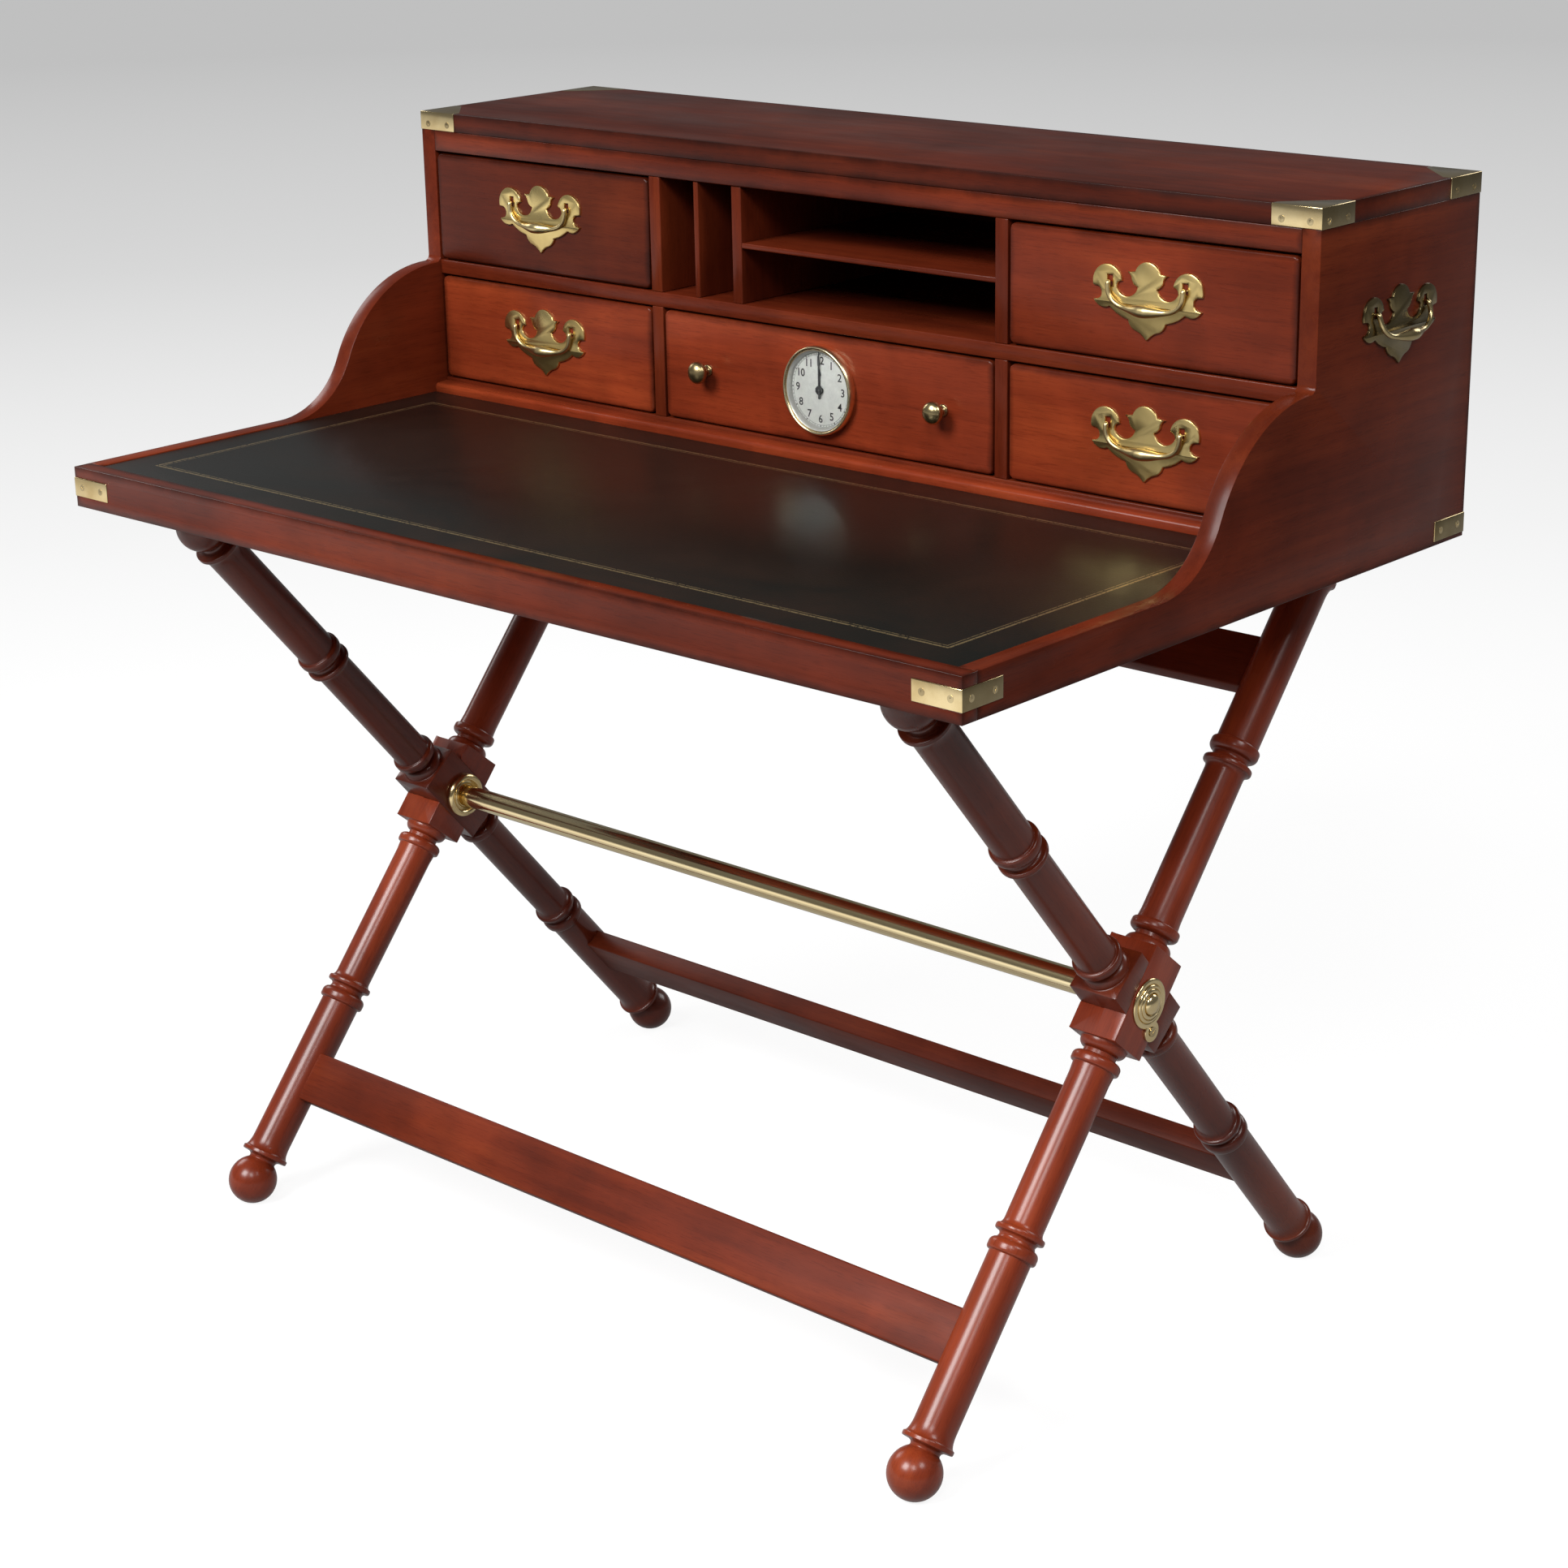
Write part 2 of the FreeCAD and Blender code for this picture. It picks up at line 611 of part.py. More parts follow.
def side_handle_parts():
    """The carrying handles in the middle of the gallery's two sides."""
    plates = []
    middle = Vector(HALF_WIDTH, (GALLERY_FRONT + REAR) / 2, UNDERSIDE + SIDE_HANDLE_HEIGHT)
    for name, side in (("left", -1), ("right", 1)):
        spot = Vector(side * middle.x, middle.y, middle.z)
        placed = FreeCAD.Placement(spot, Rotation(Z_AXIS, 90 * side))
        side_plate, side_bail = plate(), bail(SIDE_BAIL_STAND)
        side_plate.Placement = placed
        side_bail.Placement = placed
        plates.append(side_plate)
        save("bail_side_" + name, side_bail)
    save("side_handle_plates", *plates)


# ---------------------------------------------------------------- knobs and clock
def save_knobs(middle):
    """Two turned pulls: a collar, a waist and a flattened ball."""
    head_at = KNOB_REACH - KNOB_HEAD_HALF
    points = [(0, KNOB_COLLAR), (KNOB_COLLAR_HEIGHT, KNOB_COLLAR), (head_at - KNOB_HEAD_HALF, KNOB_WAIST)]
    for i in range(KNOB_STEPS + 1):
        turn = math.radians(KNOB_FROM_ANGLE + (KNOB_END_ANGLE - KNOB_FROM_ANGLE) * i / KNOB_STEPS)
        points.append((head_at + KNOB_HEAD_HALF * math.cos(turn), KNOB_RADIUS * math.sin(turn)))
    knobs = []
    for side in (-1, 1):
        at = middle + X_AXIS * side * KNOB_SPACING / 2
        knobs.append(turned(points, Y_AXIS * -1, at))
    save("drawer_knobs", *knobs)


def save_clock(middle):
    """An insert clock: bezel, glass, dial and a movement that fills a hole in the drawer front."""
    outward = Y_AXIS * -1
    rim = CLOCK_PROJECTION
    glass_at = rim - 2.6
    glass_edge = DIAL_RADIUS + 1.0

    def layer(radius, back, front):
        return disc(radius, middle + outward * back, middle + outward * front, CLOCK_SIDES)

    outside = [(0, CLOCK_RADIUS - 1.2), (rim - 3.4, CLOCK_RADIUS), (rim - 1.2, CLOCK_RADIUS - 0.6)]
    outside += [(rim, CLOCK_RADIUS - 2.2), (rim - 0.8, DIAL_RADIUS)]
    bezel = turned(outside, outward, middle, CLOCK_SIDES)
    bezel = bezel.cut([layer(glass_edge, 0, glass_at), layer(DIAL_RADIUS, 0, rim)])
    save("clock_bezel", bezel)
    save("clock_glass", layer(glass_edge, glass_at - GLASS_THICKNESS, glass_at))
    dial_face = DIAL_SET + DIAL_THICKNESS
    dial = layer(glass_edge, DIAL_SET, dial_face)
    save("clock_dial", dial.cut(rod(CANNON_RADIUS + RUNNING_FIT, middle, middle + outward * dial_face)))
    back = middle - outward * MOVEMENT_DEPTH
    through = disc(ARBOR_RADIUS + RUNNING_FIT, middle + outward * DIAL_SET, back, PIN_SIDES)
    works = layer(glass_edge, 0, DIAL_SET).fuse(layer(MOVEMENT_RADIUS, -MOVEMENT_DEPTH, 0))
    save("clock_movement", works.removeSplitter().cut(through))
    save_hands(middle, outward, dial_face)


def save_hands(middle, outward, dial_face):
    """Two spade hands on their pipes, and the knob that sets them from behind."""
    hour_at = dial_face + 0.6
    hour_top = hour_at + 0.5
    minute_at = hour_top + 0.5
    minute_top = minute_at + 0.5
    pipe_bore = disc(ARBOR_RADIUS + RUNNING_FIT, middle, middle + outward * hour_top, PIN_SIDES)
    pipe = disc(CANNON_RADIUS, middle + outward * DIAL_SET, middle + outward * hour_top, PIN_SIDES)
    hour = hand(middle, outward, hour_at, HOUR_HAND, 3.2).fuse(pipe).cut(pipe_bore)
    save("hour_hand", hour)
    boss = disc(CANNON_RADIUS + 0.6, middle + outward * minute_at, middle + outward * minute_top, PIN_SIDES)
    minute = hand(middle, outward, minute_at, MINUTE_HAND, 2.4).fuse(boss)
    save("minute_hand", minute.cut(disc(ARBOR_RADIUS, middle, middle + outward * minute_top, PIN_SIDES)))
    arbor_end = MOVEMENT_DEPTH + 2.0
    arbor = disc(ARBOR_RADIUS, middle - outward * arbor_end, middle + outward * minute_top, PIN_SIDES)
    grip = disc(SETTING_KNOB_RADIUS, middle - outward * (arbor_end + 5.0), middle - outward * arbor_end)
    save("setting_knob", arbor.fuse(grip))


def hand(middle, outward, at, length, half_width):
    """A flat clock hand that points to twelve, with a hub, a short tail and a leaf near its tip."""
    base = middle + outward * at
    hub = disc(4.4, base, base + outward * 0.5, PIN_SIDES)
    leaf = length * 0.62
    outline = ((-0.7, -8.0), (0.7, -8.0), (0.9, leaf), (half_width * 0.6, leaf + 2.0), (0.25, length))
    outline += ((-0.25, length), (-half_width * 0.6, leaf + 2.0), (-0.9, leaf))
    spots = [base + X_AXIS * x + Z_AXIS * z for x, z in outline]
    blade = Part.Face(Part.makePolygon(spots + spots[:1])).extrude(outward * 0.5)
    return hub.fuse(blade).removeSplitter()


# ---------------------------------------------------------------- base
def leg_half_profile():
    """(along, radius) from the cross to the end of the ball, for one half of a turned leg."""
    shoulder = BLOCK_LENGTH / 2
    corner = BLOCK * math.sqrt(0.5) + 1.0
    neck = shoulder + OVOLO
    collar = neck + NECK_LENGTH
    points = [(shoulder, corner), (shoulder, OVOLO_RADIUS)]
    points += [(shoulder + OVOLO * math.sqrt(0.5), (OVOLO_RADIUS + NECK_RADIUS) / 2 + 1.0), (neck, NECK_RADIUS)]
    points += [(collar, NECK_RADIUS + 0.5), (collar + COLLAR_EASE, COLLAR_RADIUS)]
    points += [(collar + COLLAR_WIDTH - COLLAR_EASE, COLLAR_RADIUS), (collar + COLLAR_WIDTH, COLUMN_RADIUS)]
    first_bead = BEADS_FROM_CROSS - BEAD_GAP / 2 - BEAD_WIDTH / 2
    second_bead = BEADS_FROM_CROSS + BEAD_GAP / 2 + BEAD_WIDTH / 2
    points += [((points[-1][0] + first_bead) / 2, COLUMN_SWELL), (first_bead - BEAD_WIDTH / 2, BEAD_FOOT)]
    points += [(first_bead, BEAD_RADIUS), (BEADS_FROM_CROSS, BEAD_FOOT), (second_bead, BEAD_RADIUS)]
    neck_end = LEG_HALF - BALL_RADIUS + BALL_SUNK
    flare = neck_end - FLARE_LENGTH
    points += [(second_bead + BEAD_WIDTH / 2, BEAD_FOOT), ((second_bead + flare) / 2, COLUMN_SWELL)]
    points += [(flare - FLARE_RUN, COLUMN_RADIUS), (flare, FLARE_RADIUS), (flare + FLARE_EASE, FLARE_RADIUS)]
    points += [(neck_end - FLARE_EASE, BALL_NECK_RADIUS)]
    open_angle = math.degrees(math.asin(BALL_NECK_RADIUS / BALL_RADIUS))
    return points + ball_points(LEG_HALF, BALL_RADIUS, 180 - open_angle, BALL_END_ANGLE, BALL_STEPS)


def turned_leg():
    """A whole leg along Z with its middle at the origin: round turnings with a square block at the cross."""
    half = leg_half_profile()
    outline = [(-along, radius) for along, radius in reversed(half)] + half
    round_leg = turned(outline, Z_AXIS, Vector(), LEG_SIDES)
    slab = BLOCK / 2
    end = BLOCK_LENGTH / 2 + OVOLO
    reach = LEG_HALF + BALL_RADIUS + 1.0
    clear = 2 * BALL_RADIUS
    square = box((-slab, slab), (-slab, slab), (-end, end))
    ends = [box((-clear, clear), (-clear, clear), z) for z in ((-reach, -end), (end, reach))]
    return round_leg.common(square.multiFuse(ends))


def block_prism(half_length):
    slab = BLOCK / 2
    return box((-slab, slab), (-slab, slab), (-half_length, half_length))


def stretcher_spots():
    """Name, lean of the legs that carry it and place along them, for each stretcher."""
    return (
        ("stretcher_lower_front", -LEG_LEAN, -LOWER_FRONT_AT),
        ("stretcher_lower_rear", LEG_LEAN, -LOWER_REAR_AT),
        ("stretcher_upper_rear", -LEG_LEAN, UPPER_REAR_AT),
    )


def tenons(at):
    half_width, half_thickness = TENON_WIDTH / 2, TENON_THICKNESS / 2
    end = LEG_X - TENON_SHORT
    y = (-half_thickness, half_thickness)
    z = (at - half_width, at + half_width)
    inner = LEG_X - COLUMN_SWELL - 6.0
    return [box(x, y, z) for x in ((-end, -inner), (inner, end))]


def base_parts():
    cross = Vector(0, 0, CROSS_Z)
    plain = turned_leg()
    floor_to_case = box((-CASE_WIDTH, CASE_WIDTH), (-CASE_DEPTH, CASE_DEPTH), (0, UNDERSIDE))
    hardware = bolt_holes() + dowel_holes()
    stretchers = {name: stretcher_board(at) for name, lean_by, at in stretcher_spots()}
    for side, side_name in ((-1, "left"), (1, "right")):
        centre = Vector(side * LEG_X, 0, 0)
        for leg_lean, leg_name, lap_side in ((-LEG_LEAN, "front_foot", 1), (LEG_LEAN, "rear_foot", -1)):
            leg = moved(plain, centre)
            for name, lean_by, at in stretcher_spots():
                if lean_by == leg_lean:
                    stretchers[name] = stretchers[name].cut(leg)
                    leg = leg.cut(tenons(at))
            leg = lean(leg, leg_lean, Vector())
            leg = leg.cut(lap(centre, -leg_lean, side * -lap_side))
            leg.translate(cross)
            leg = leg.common(floor_to_case).cut(hardware)
            save("leg_" + side_name + "_" + leg_name, leg)
    for name, lean_by, at in stretcher_spots():
        board = stretchers[name].multiFuse(tenons(at)).removeSplitter()
        save(name, moved(lean(board, lean_by, Vector()), cross))


def lap(centre, other_lean, side):
    """The half of the crossing leg's block that this leg gives up, towards side along X."""
    block = block_prism(BLOCK)
    half = BLOCK / 2
    x = sorted((0, side * half))
    block = block.common(box(x, (-half, half), (-BLOCK, BLOCK)))
    return moved(lean(block, other_lean, Vector()), centre)


def stretcher_board(at):
    half_width, half_thickness = STRETCHER_WIDTH / 2, STRETCHER_THICKNESS / 2
    end = LEG_X - STRETCHER_THICKNESS / 2
    return box((-end, end), (-half_thickness, half_thickness), (at - half_width, at + half_width))


def bolt_holes():
    holes = []
    for side in (-1, 1):
        outer = Vector(side * OUTER_FACE, 0, CROSS_Z)
        inner = Vector(side * (LEG_X - BLOCK / 2), 0, CROSS_Z)
        holes.append(disc(BOLT_RADIUS, inner, outer))
        counterbore = outer - X_AXIS * side * COUNTERBORE_DEPTH
        holes.append(disc(BOLT_HEAD_RADIUS + COUNTERBORE_CLEARANCE, counterbore, outer))
        screw = cover_screw_spot(side)
        foot = screw - X_AXIS * side * COVER_SCREW_LENGTH
        holes.append(disc(COVER_SCREW_RADIUS, foot, screw, PIN_SIDES))
    return holes


def dowel_spots():
    return [Vector(x, y, UNDERSIDE) for x in (-LEG_X, LEG_X) for y in (-BALL_Y, BALL_Y)]


def dowel_holes():
    down, up = Z_AXIS * DOWEL_IN_LEG, Z_AXIS * DOWEL_IN_BEARER
    return [disc(DOWEL_RADIUS, spot - down, spot + up, PIN_SIDES) for spot in dowel_spots()]


def cover_screw_spot(side):
    """Middle of the tab of a bolt cover, on the outer face of the block."""
    turn = math.radians(COVER_TURN)
    drop = Vector(0, math.sin(turn), -math.cos(turn)) * TAB_DROP
    return Vector(side * OUTER_FACE, 0, CROSS_Z) + drop


def bolt_parts():
    bolts, flanges = [], []
    inner = LEG_X - BLOCK / 2
    tube = disc(TUBE_RADIUS, Vector(-inner, 0, CROSS_Z), Vector(inner, 0, CROSS_Z))
    bore = disc(BOLT_RADIUS, Vector(-inner, 0, CROSS_Z), Vector(inner, 0, CROSS_Z))
    save("cross_tube", tube.cut(bore))
    for side in (-1, 1):
        outward = X_AXIS * side
        seat = Vector(side * (OUTER_FACE - COUNTERBORE_DEPTH), 0, CROSS_Z)
        tip = Vector(side * (inner - BOLT_IN_TUBE), 0, CROSS_Z)
        head = disc(BOLT_HEAD_RADIUS, seat, seat + outward * BOLT_HEAD_HEIGHT)
        bolts.append(head.fuse(disc(BOLT_RADIUS, tip, seat)))
        flanges.append(flange(Vector(side * inner, 0, CROSS_Z), outward * -1))
    save("frame_bolts", *bolts)
    save("tube_flanges", *flanges)
    pins = []
    for spot in dowel_spots():
        foot = spot - Z_AXIS * DOWEL_IN_LEG
        pins.append(disc(DOWEL_RADIUS, foot, spot + Z_AXIS * DOWEL_IN_BEARER, PIN_SIDES))
    save("leg_top_dowels", *pins)


def flange(at, outward):
    """A domed collar round the tube, against the block."""
    points = [(0, FLANGE_RADIUS), (2.0, FLANGE_RADIUS), (5.0, FLANGE_RADIUS - 4.5)]
    points += [(FLANGE_HEIGHT - 1.0, TUBE_RADIUS + 2.5), (FLANGE_HEIGHT, TUBE_RADIUS + 1.0)]
    return turned(points, outward, at).cut(disc(TUBE_RADIUS, at, at + outward * FLANGE_HEIGHT))


def save_covers():
    """Swivelling covers over the bolt heads, each on one screw."""
    screws = []
    for side, name in ((-1, "left"), (1, "right")):
        outward = X_AXIS * side
        centre = Vector(side * (OUTER_FACE + COVER_GAP), 0, CROSS_Z)
        edge = COVER_RADIUS
        points = [(0, edge), (COVER_THICKNESS, edge - 0.6), (COVER_THICKNESS, edge - 5.0)]
        points += [(COVER_THICKNESS + 1.4, edge - 6.5), (COVER_THICKNESS + 1.4, edge - 10.5)]
        points += [(COVER_THICKNESS + 0.6, edge - 12.0), (COVER_THICKNESS + 4.0, 7.5)]
        points += [(COVER_THICKNESS + 6.0, 4.0), (COVER_THICKNESS + 6.5, 1.5)]
        round_cover = turned(points, outward, centre)
        spot = cover_screw_spot(side) + outward * COVER_GAP
        tab = disc(TAB_RADIUS, spot, spot + outward * COVER_THICKNESS)
        hole = rod(COVER_SCREW_RADIUS + RUNNING_FIT, spot, spot + outward * COVER_THICKNESS)
        save("bolt_cover_" + name, round_cover.fuse(tab).removeSplitter().cut(hole))
        seat = spot + outward * (COVER_THICKNESS + COVER_GAP)
        foot = cover_screw_spot(side) - outward * COVER_SCREW_LENGTH
        head = [(0, COVER_SCREW_HEAD), (1.0, COVER_SCREW_HEAD - 0.6), (2.0, 2.2)]
        screws.append(turned(head, outward, seat).fuse(disc(COVER_SCREW_RADIUS, foot, seat, PIN_SIDES)))
    save("bolt_cover_screws", *screws)


def save_bearers():
    """Two boards under the writing board that stand on the four legs."""
    bearers = []
    for side in (-1, 1):
        x = (side * LEG_X - BEARER_WIDTH / 2, side * LEG_X + BEARER_WIDTH / 2)
        bearer = box(x, (FRONT + RAIL, BACK_FACE), (UNDERSIDE, BOARD_UNDER))
        bearers.append(bearer.cut(dowel_holes()))
    save("case_bearers", *bearers)


def main():
    os.makedirs("parts", exist_ok=True)
    case_parts()
    drawer_parts()
    side_handle_parts()
    base_parts()
    bolt_parts()
    save_covers()
    save_bearers()


main()
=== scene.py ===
"""Dresses the campaign desk: boards, turned legs, brassware, leather, clock and studio."""

import logging
import math
from contextlib import contextmanager
from dataclasses import dataclass
from enum import Enum
from typing import Callable, Iterator, Optional, Sequence, Union

import bpy
from mathutils import Matrix, Vector


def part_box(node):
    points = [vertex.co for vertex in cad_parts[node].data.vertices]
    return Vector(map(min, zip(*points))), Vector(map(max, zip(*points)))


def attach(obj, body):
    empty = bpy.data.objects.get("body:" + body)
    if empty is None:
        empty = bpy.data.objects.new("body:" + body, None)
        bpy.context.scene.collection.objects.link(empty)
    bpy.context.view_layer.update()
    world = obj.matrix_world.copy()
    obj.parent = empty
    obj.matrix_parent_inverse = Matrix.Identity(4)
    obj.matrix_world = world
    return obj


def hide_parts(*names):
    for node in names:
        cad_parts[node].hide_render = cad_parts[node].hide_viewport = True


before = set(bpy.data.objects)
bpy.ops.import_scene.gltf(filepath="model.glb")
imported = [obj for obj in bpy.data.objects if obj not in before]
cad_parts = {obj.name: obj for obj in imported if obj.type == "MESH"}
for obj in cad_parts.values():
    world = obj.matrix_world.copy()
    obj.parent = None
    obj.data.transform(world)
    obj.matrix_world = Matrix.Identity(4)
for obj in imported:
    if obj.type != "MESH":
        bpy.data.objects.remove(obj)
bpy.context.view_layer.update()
LOG = logging.getLogger("desk")

Piece = bpy.types.Object
Material = bpy.types.Material
Socket = bpy.types.NodeSocket
Value = Union[Socket, float]
Numbers = Sequence[float]
Point = tuple[float, float]
Profile = list[Point]
Colour = tuple[float, float, float]

X_AXIS = Vector((1, 0, 0))
Y_AXIS = Vector((0, 1, 0))
Z_AXIS = Vector((0, 0, 1))
FORWARD = Vector((0, -1, 0))
SIDES = ((-1, "left"), (1, "right"))

CASE_HALF_WIDTH = 0.533
GALLERY_FRONT = 0.105
FOOT_Y = 0.285
HALF_RISE = 0.3365
LEG_LEAN = math.atan2(FOOT_Y, HALF_RISE)
WELD = 1e-6
THROUGH = 0.01


# ------------------------------------------------------------------ modelling steps
def rest() -> None:
    """Leaves edit mode and deselects every object."""
    if bpy.context.mode != "OBJECT":
        bpy.ops.object.mode_set(mode="OBJECT")
    bpy.ops.object.select_all(action="DESELECT")


def take(piece: Piece) -> None:
    """Selects one piece alone and makes it the active one.

    Args:
        piece: The piece to take up.
    """
    rest()
    piece.select_set(True)
    bpy.context.view_layer.objects.active = piece


@contextmanager
def editing(piece: Piece, mode: str = "VERT") -> Iterator[None]:
    """Opens a piece in edit mode with all of it selected.

    Args:
        piece: The piece to edit.
        mode: VERT, EDGE or FACE.

    Yields:
        Nothing, while the piece is open.
    """
    take(piece)
    bpy.ops.object.mode_set(mode="EDIT")
    bpy.ops.mesh.select_mode(type=mode)
    bpy.ops.mesh.select_all(action="SELECT")
    yield
    bpy.ops.object.mode_set(mode="OBJECT")


def pick(piece: Piece, parts: str, chosen: Callable[[object], bool]) -> None:
    """Selects some parts of the piece that is open in edit mode, and nothing else.

    Args:
        piece: The open piece.
        parts: The kind of part, edges or polygons.
        chosen: Says of each part whether it is wanted.
    """
    bpy.ops.mesh.select_all(action="DESELECT")
    bpy.ops.object.mode_set(mode="OBJECT")
    for part in getattr(piece.data, parts):
        part.select = chosen(part)
    bpy.ops.object.mode_set(mode="EDIT")


def bevel_front(piece: Piece, width: float, segments: int) -> None:
    """Bevels the edges round a piece's front face, and round the holes in it.

    Args:
        piece: The piece to change.
        width: How far the bevel reaches on each face.
        segments: Faces across the bevel.
    """
    with editing(piece, "FACE"):
        pick(piece, "polygons", lambda face: face.normal.y < -0.9)
        bpy.ops.mesh.region_to_loop()
        bpy.ops.mesh.select_mode(type="EDGE")
        bpy.ops.mesh.bevel(offset=width, segments=segments, affect="EDGES")


def named(name: str) -> Piece:
    """Names the piece that was just added.

    Args:
        name: Its name.

    Returns:
        The piece.
    """
    piece = bpy.context.active_object
    piece.name = name
    piece.data.name = name
    return piece


def settle(piece: Piece) -> Piece:
    """Moves a piece's place, turn and scale into its mesh.

    Args:
        piece: The piece to settle.

    Returns:
        The piece.
    """
    take(piece)
    bpy.ops.object.transform_apply(location=True, rotation=True, scale=True)
    return piece


def finish_with(piece: Piece, kind: str, **settings: object) -> None:
    """Adds a modifier to a piece and applies it.

    Args:
        piece: The piece to change.
        kind: The modifier's type.
        **settings: Its fields.
    """
    take(piece)
    modifier = piece.modifiers.new(kind.lower(), kind)
    for field, value in settings.items():
        setattr(modifier, field, value)
    bpy.ops.object.modifier_apply(modifier=modifier.name)


def eased(piece: Piece, width: float, segments: int = 2, angle: float = 38.0) -> Piece:
    """Rounds the sharp edges of a piece.

    Args:
        piece: The piece to change.
        width: How far the rounding reaches on each face.
        segments: Faces across the rounding.
        angle: Edges sharper than this, in degrees, are rounded.

    Returns:
        The piece.
    """
    finish_with(
        piece, "BEVEL", width=width, segments=segments, limit_method="ANGLE",
        angle_limit=math.radians(angle), use_clamp_overlap=True,
    )
    return smooth(piece)


def smooth(piece: Piece, angle: float = 30.0) -> Piece:
    """Shades a piece smooth, apart from its sharp edges.

    Args:
        piece: The piece to shade.
        angle: Edges sharper than this, in degrees, stay sharp.

    Returns:
        The piece.
    """
    take(piece)
    bpy.ops.object.shade_smooth_by_angle(angle=math.radians(angle))
    return piece


def carve(piece: Piece, cutter: Piece, how: str = "DIFFERENCE") -> None:
    """Combines a piece with a cutter, and discards the cutter.

    Args:
        piece: The piece to change.
        cutter: The other solid.
        how: DIFFERENCE, INTERSECT or UNION.
    """
    finish_with(piece, "BOOLEAN", operation=how, solver="EXACT", object=cutter)
    bpy.data.objects.remove(cutter)


def joined(name: str, pieces: Sequence[Piece]) -> Piece:
    """Joins several meshes into one piece.

    Args:
        name: Name of the whole.
        pieces: The meshes.

    Returns:
        The whole.
    """
    rest()
    for piece in pieces:
        piece.select_set(True)
    bpy.context.view_layer.objects.active = pieces[0]
    bpy.ops.object.join()
    return named(name)


def twin(piece: Piece, name: str, placed: Matrix) -> Piece:
    """Copies a piece with a mesh of its own.

    Args:
        piece: The piece to copy.
        name: Name of the copy.
        placed: Where the copy goes, from where the piece is.

    Returns:
        The copy, settled.
    """
    take(piece)
    bpy.ops.object.duplicate(linked=False)
    copy = named(name)
    copy.matrix_world = placed
    return settle(copy)


def block(name: str, low: Numbers, high: Numbers) -> Piece:
    """A squared block.

    Args:
        name: Its name.
        low: Its lowest corner.
        high: Its highest corner.

    Returns:
        The block, settled.
    """
    middle = [(a + b) / 2 for a, b in zip(low, high)]
    bpy.ops.mesh.primitive_cube_add(size=1.0, location=middle)
    piece = named(name)
    piece.scale = [b - a for a, b in zip(low, high)]
    return settle(piece)


def turned(name: str, profile: Profile, foot: Vector, axis: Vector, steps: int = 48) -> Piece:
    """Turns a piece on a lathe: one vertex is drawn along the profile and spun round the axis.

    Args:
        name: Name of the piece.
        profile: (along, radius) pairs. A closed ring repeats its first pair at its end.
        foot: The point on the axis where along is nought.
        axis: Direction of the axis.
        steps: Faces round the piece.

    Returns:
        The turned piece, with normals outwards.
    """
    radial = axis.orthogonal().normalized()
    spots = [foot + axis * along + radial * radius for along, radius in profile]
    bpy.ops.mesh.primitive_plane_add(size=0.001)
    piece = named(name)
    with editing(piece):
        bpy.ops.mesh.merge(type="CENTER")
        bpy.ops.mesh.select_all(action="SELECT")
        bpy.ops.transform.translate(value=spots[0])
        for here, spot in zip(spots, spots[1:]):
            bpy.ops.mesh.extrude_region_move(TRANSFORM_OT_translate={"value": spot - here})
        bpy.ops.mesh.select_all(action="SELECT")
        bpy.ops.mesh.spin(steps=steps, angle=2 * math.pi, center=foot, axis=axis)
        bpy.ops.mesh.select_all(action="SELECT")
        bpy.ops.mesh.remove_doubles(threshold=2 * WELD)
        bpy.ops.mesh.normals_make_consistent(inside=False)
    return smooth(piece, 34.0)


def quarter(start: Point, end: Point, along_first: bool, steps: int = 6) -> Profile:
    """A quarter of an ellipse between two profile points, without its start.

    Args:
        start: Where it starts.
        end: Where it ends.
        along_first: Whether it leaves the start along the axis, or square to it.
        steps: Chords in the curve.

    Returns:
        The points.
    """
    points = []
    for i in range(1, steps + 1):
        turn = math.pi / 2 * i / steps
        part, rise = math.sin(turn), 1 - math.cos(turn)
        if not along_first:
            part, rise = rise, part
        along, radius = (a + (b - a) * share for a, b, share in zip(start, end, (part, rise)))
        points.append((along, radius))
    return points


def arc_through(start: Vector, through: Vector, end: Vector, chord: float = 10.0) -> list[Vector]:
    """Points along the arc through three points of a plane, without its start.

    Args:
        start: Where the arc starts.
        through: A point on it.
        end: Where it ends.
        chord: Degrees of the arc to each chord.

    Returns:
        The points.
    """
    ax, ay, bx, by = through.x - start.x, through.y - start.y, end.x - start.x, end.y - start.y
    twice = 2 * (ax * by - ay * bx)
    a2, b2 = ax * ax + ay * ay, bx * bx + by * by
    centre = start + Vector(((by * a2 - ay * b2) / twice, (ax * b2 - bx * a2) / twice))
    radius = (start - centre).length
    first = math.atan2(start.y - centre.y, start.x - centre.x)
    middle, last = (
        (math.atan2(spot.y - centre.y, spot.x - centre.x) - first) % (2 * math.pi)
        for spot in (through, end))
    sweep = last if middle < last else last - 2 * math.pi
    steps = max(2, round(abs(math.degrees(sweep)) / chord))
    turns = [first + sweep * (i + 1) / steps for i in range(steps)]
    return [centre + Vector((math.cos(turn), math.sin(turn))) * radius for turn in turns]


def cad_copy(node: str, name: str) -> Piece:
    """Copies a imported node's mesh, merged and with its flat faces whole again.

    Args:
        node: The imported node.
        name: Name of the copy.

    Returns:
        The copy, with no material.
    """
    take(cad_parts[node])
    bpy.ops.object.duplicate(linked=False)
    piece = named(name)
    for key in list(piece.keys()):
        del piece[key]
    piece.parent = None
    with editing(piece):
        bpy.ops.mesh.remove_doubles(threshold=WELD)
        bpy.ops.mesh.dissolve_limited(angle_limit=math.radians(0.4))
    piece.data.materials.clear()
    return piece


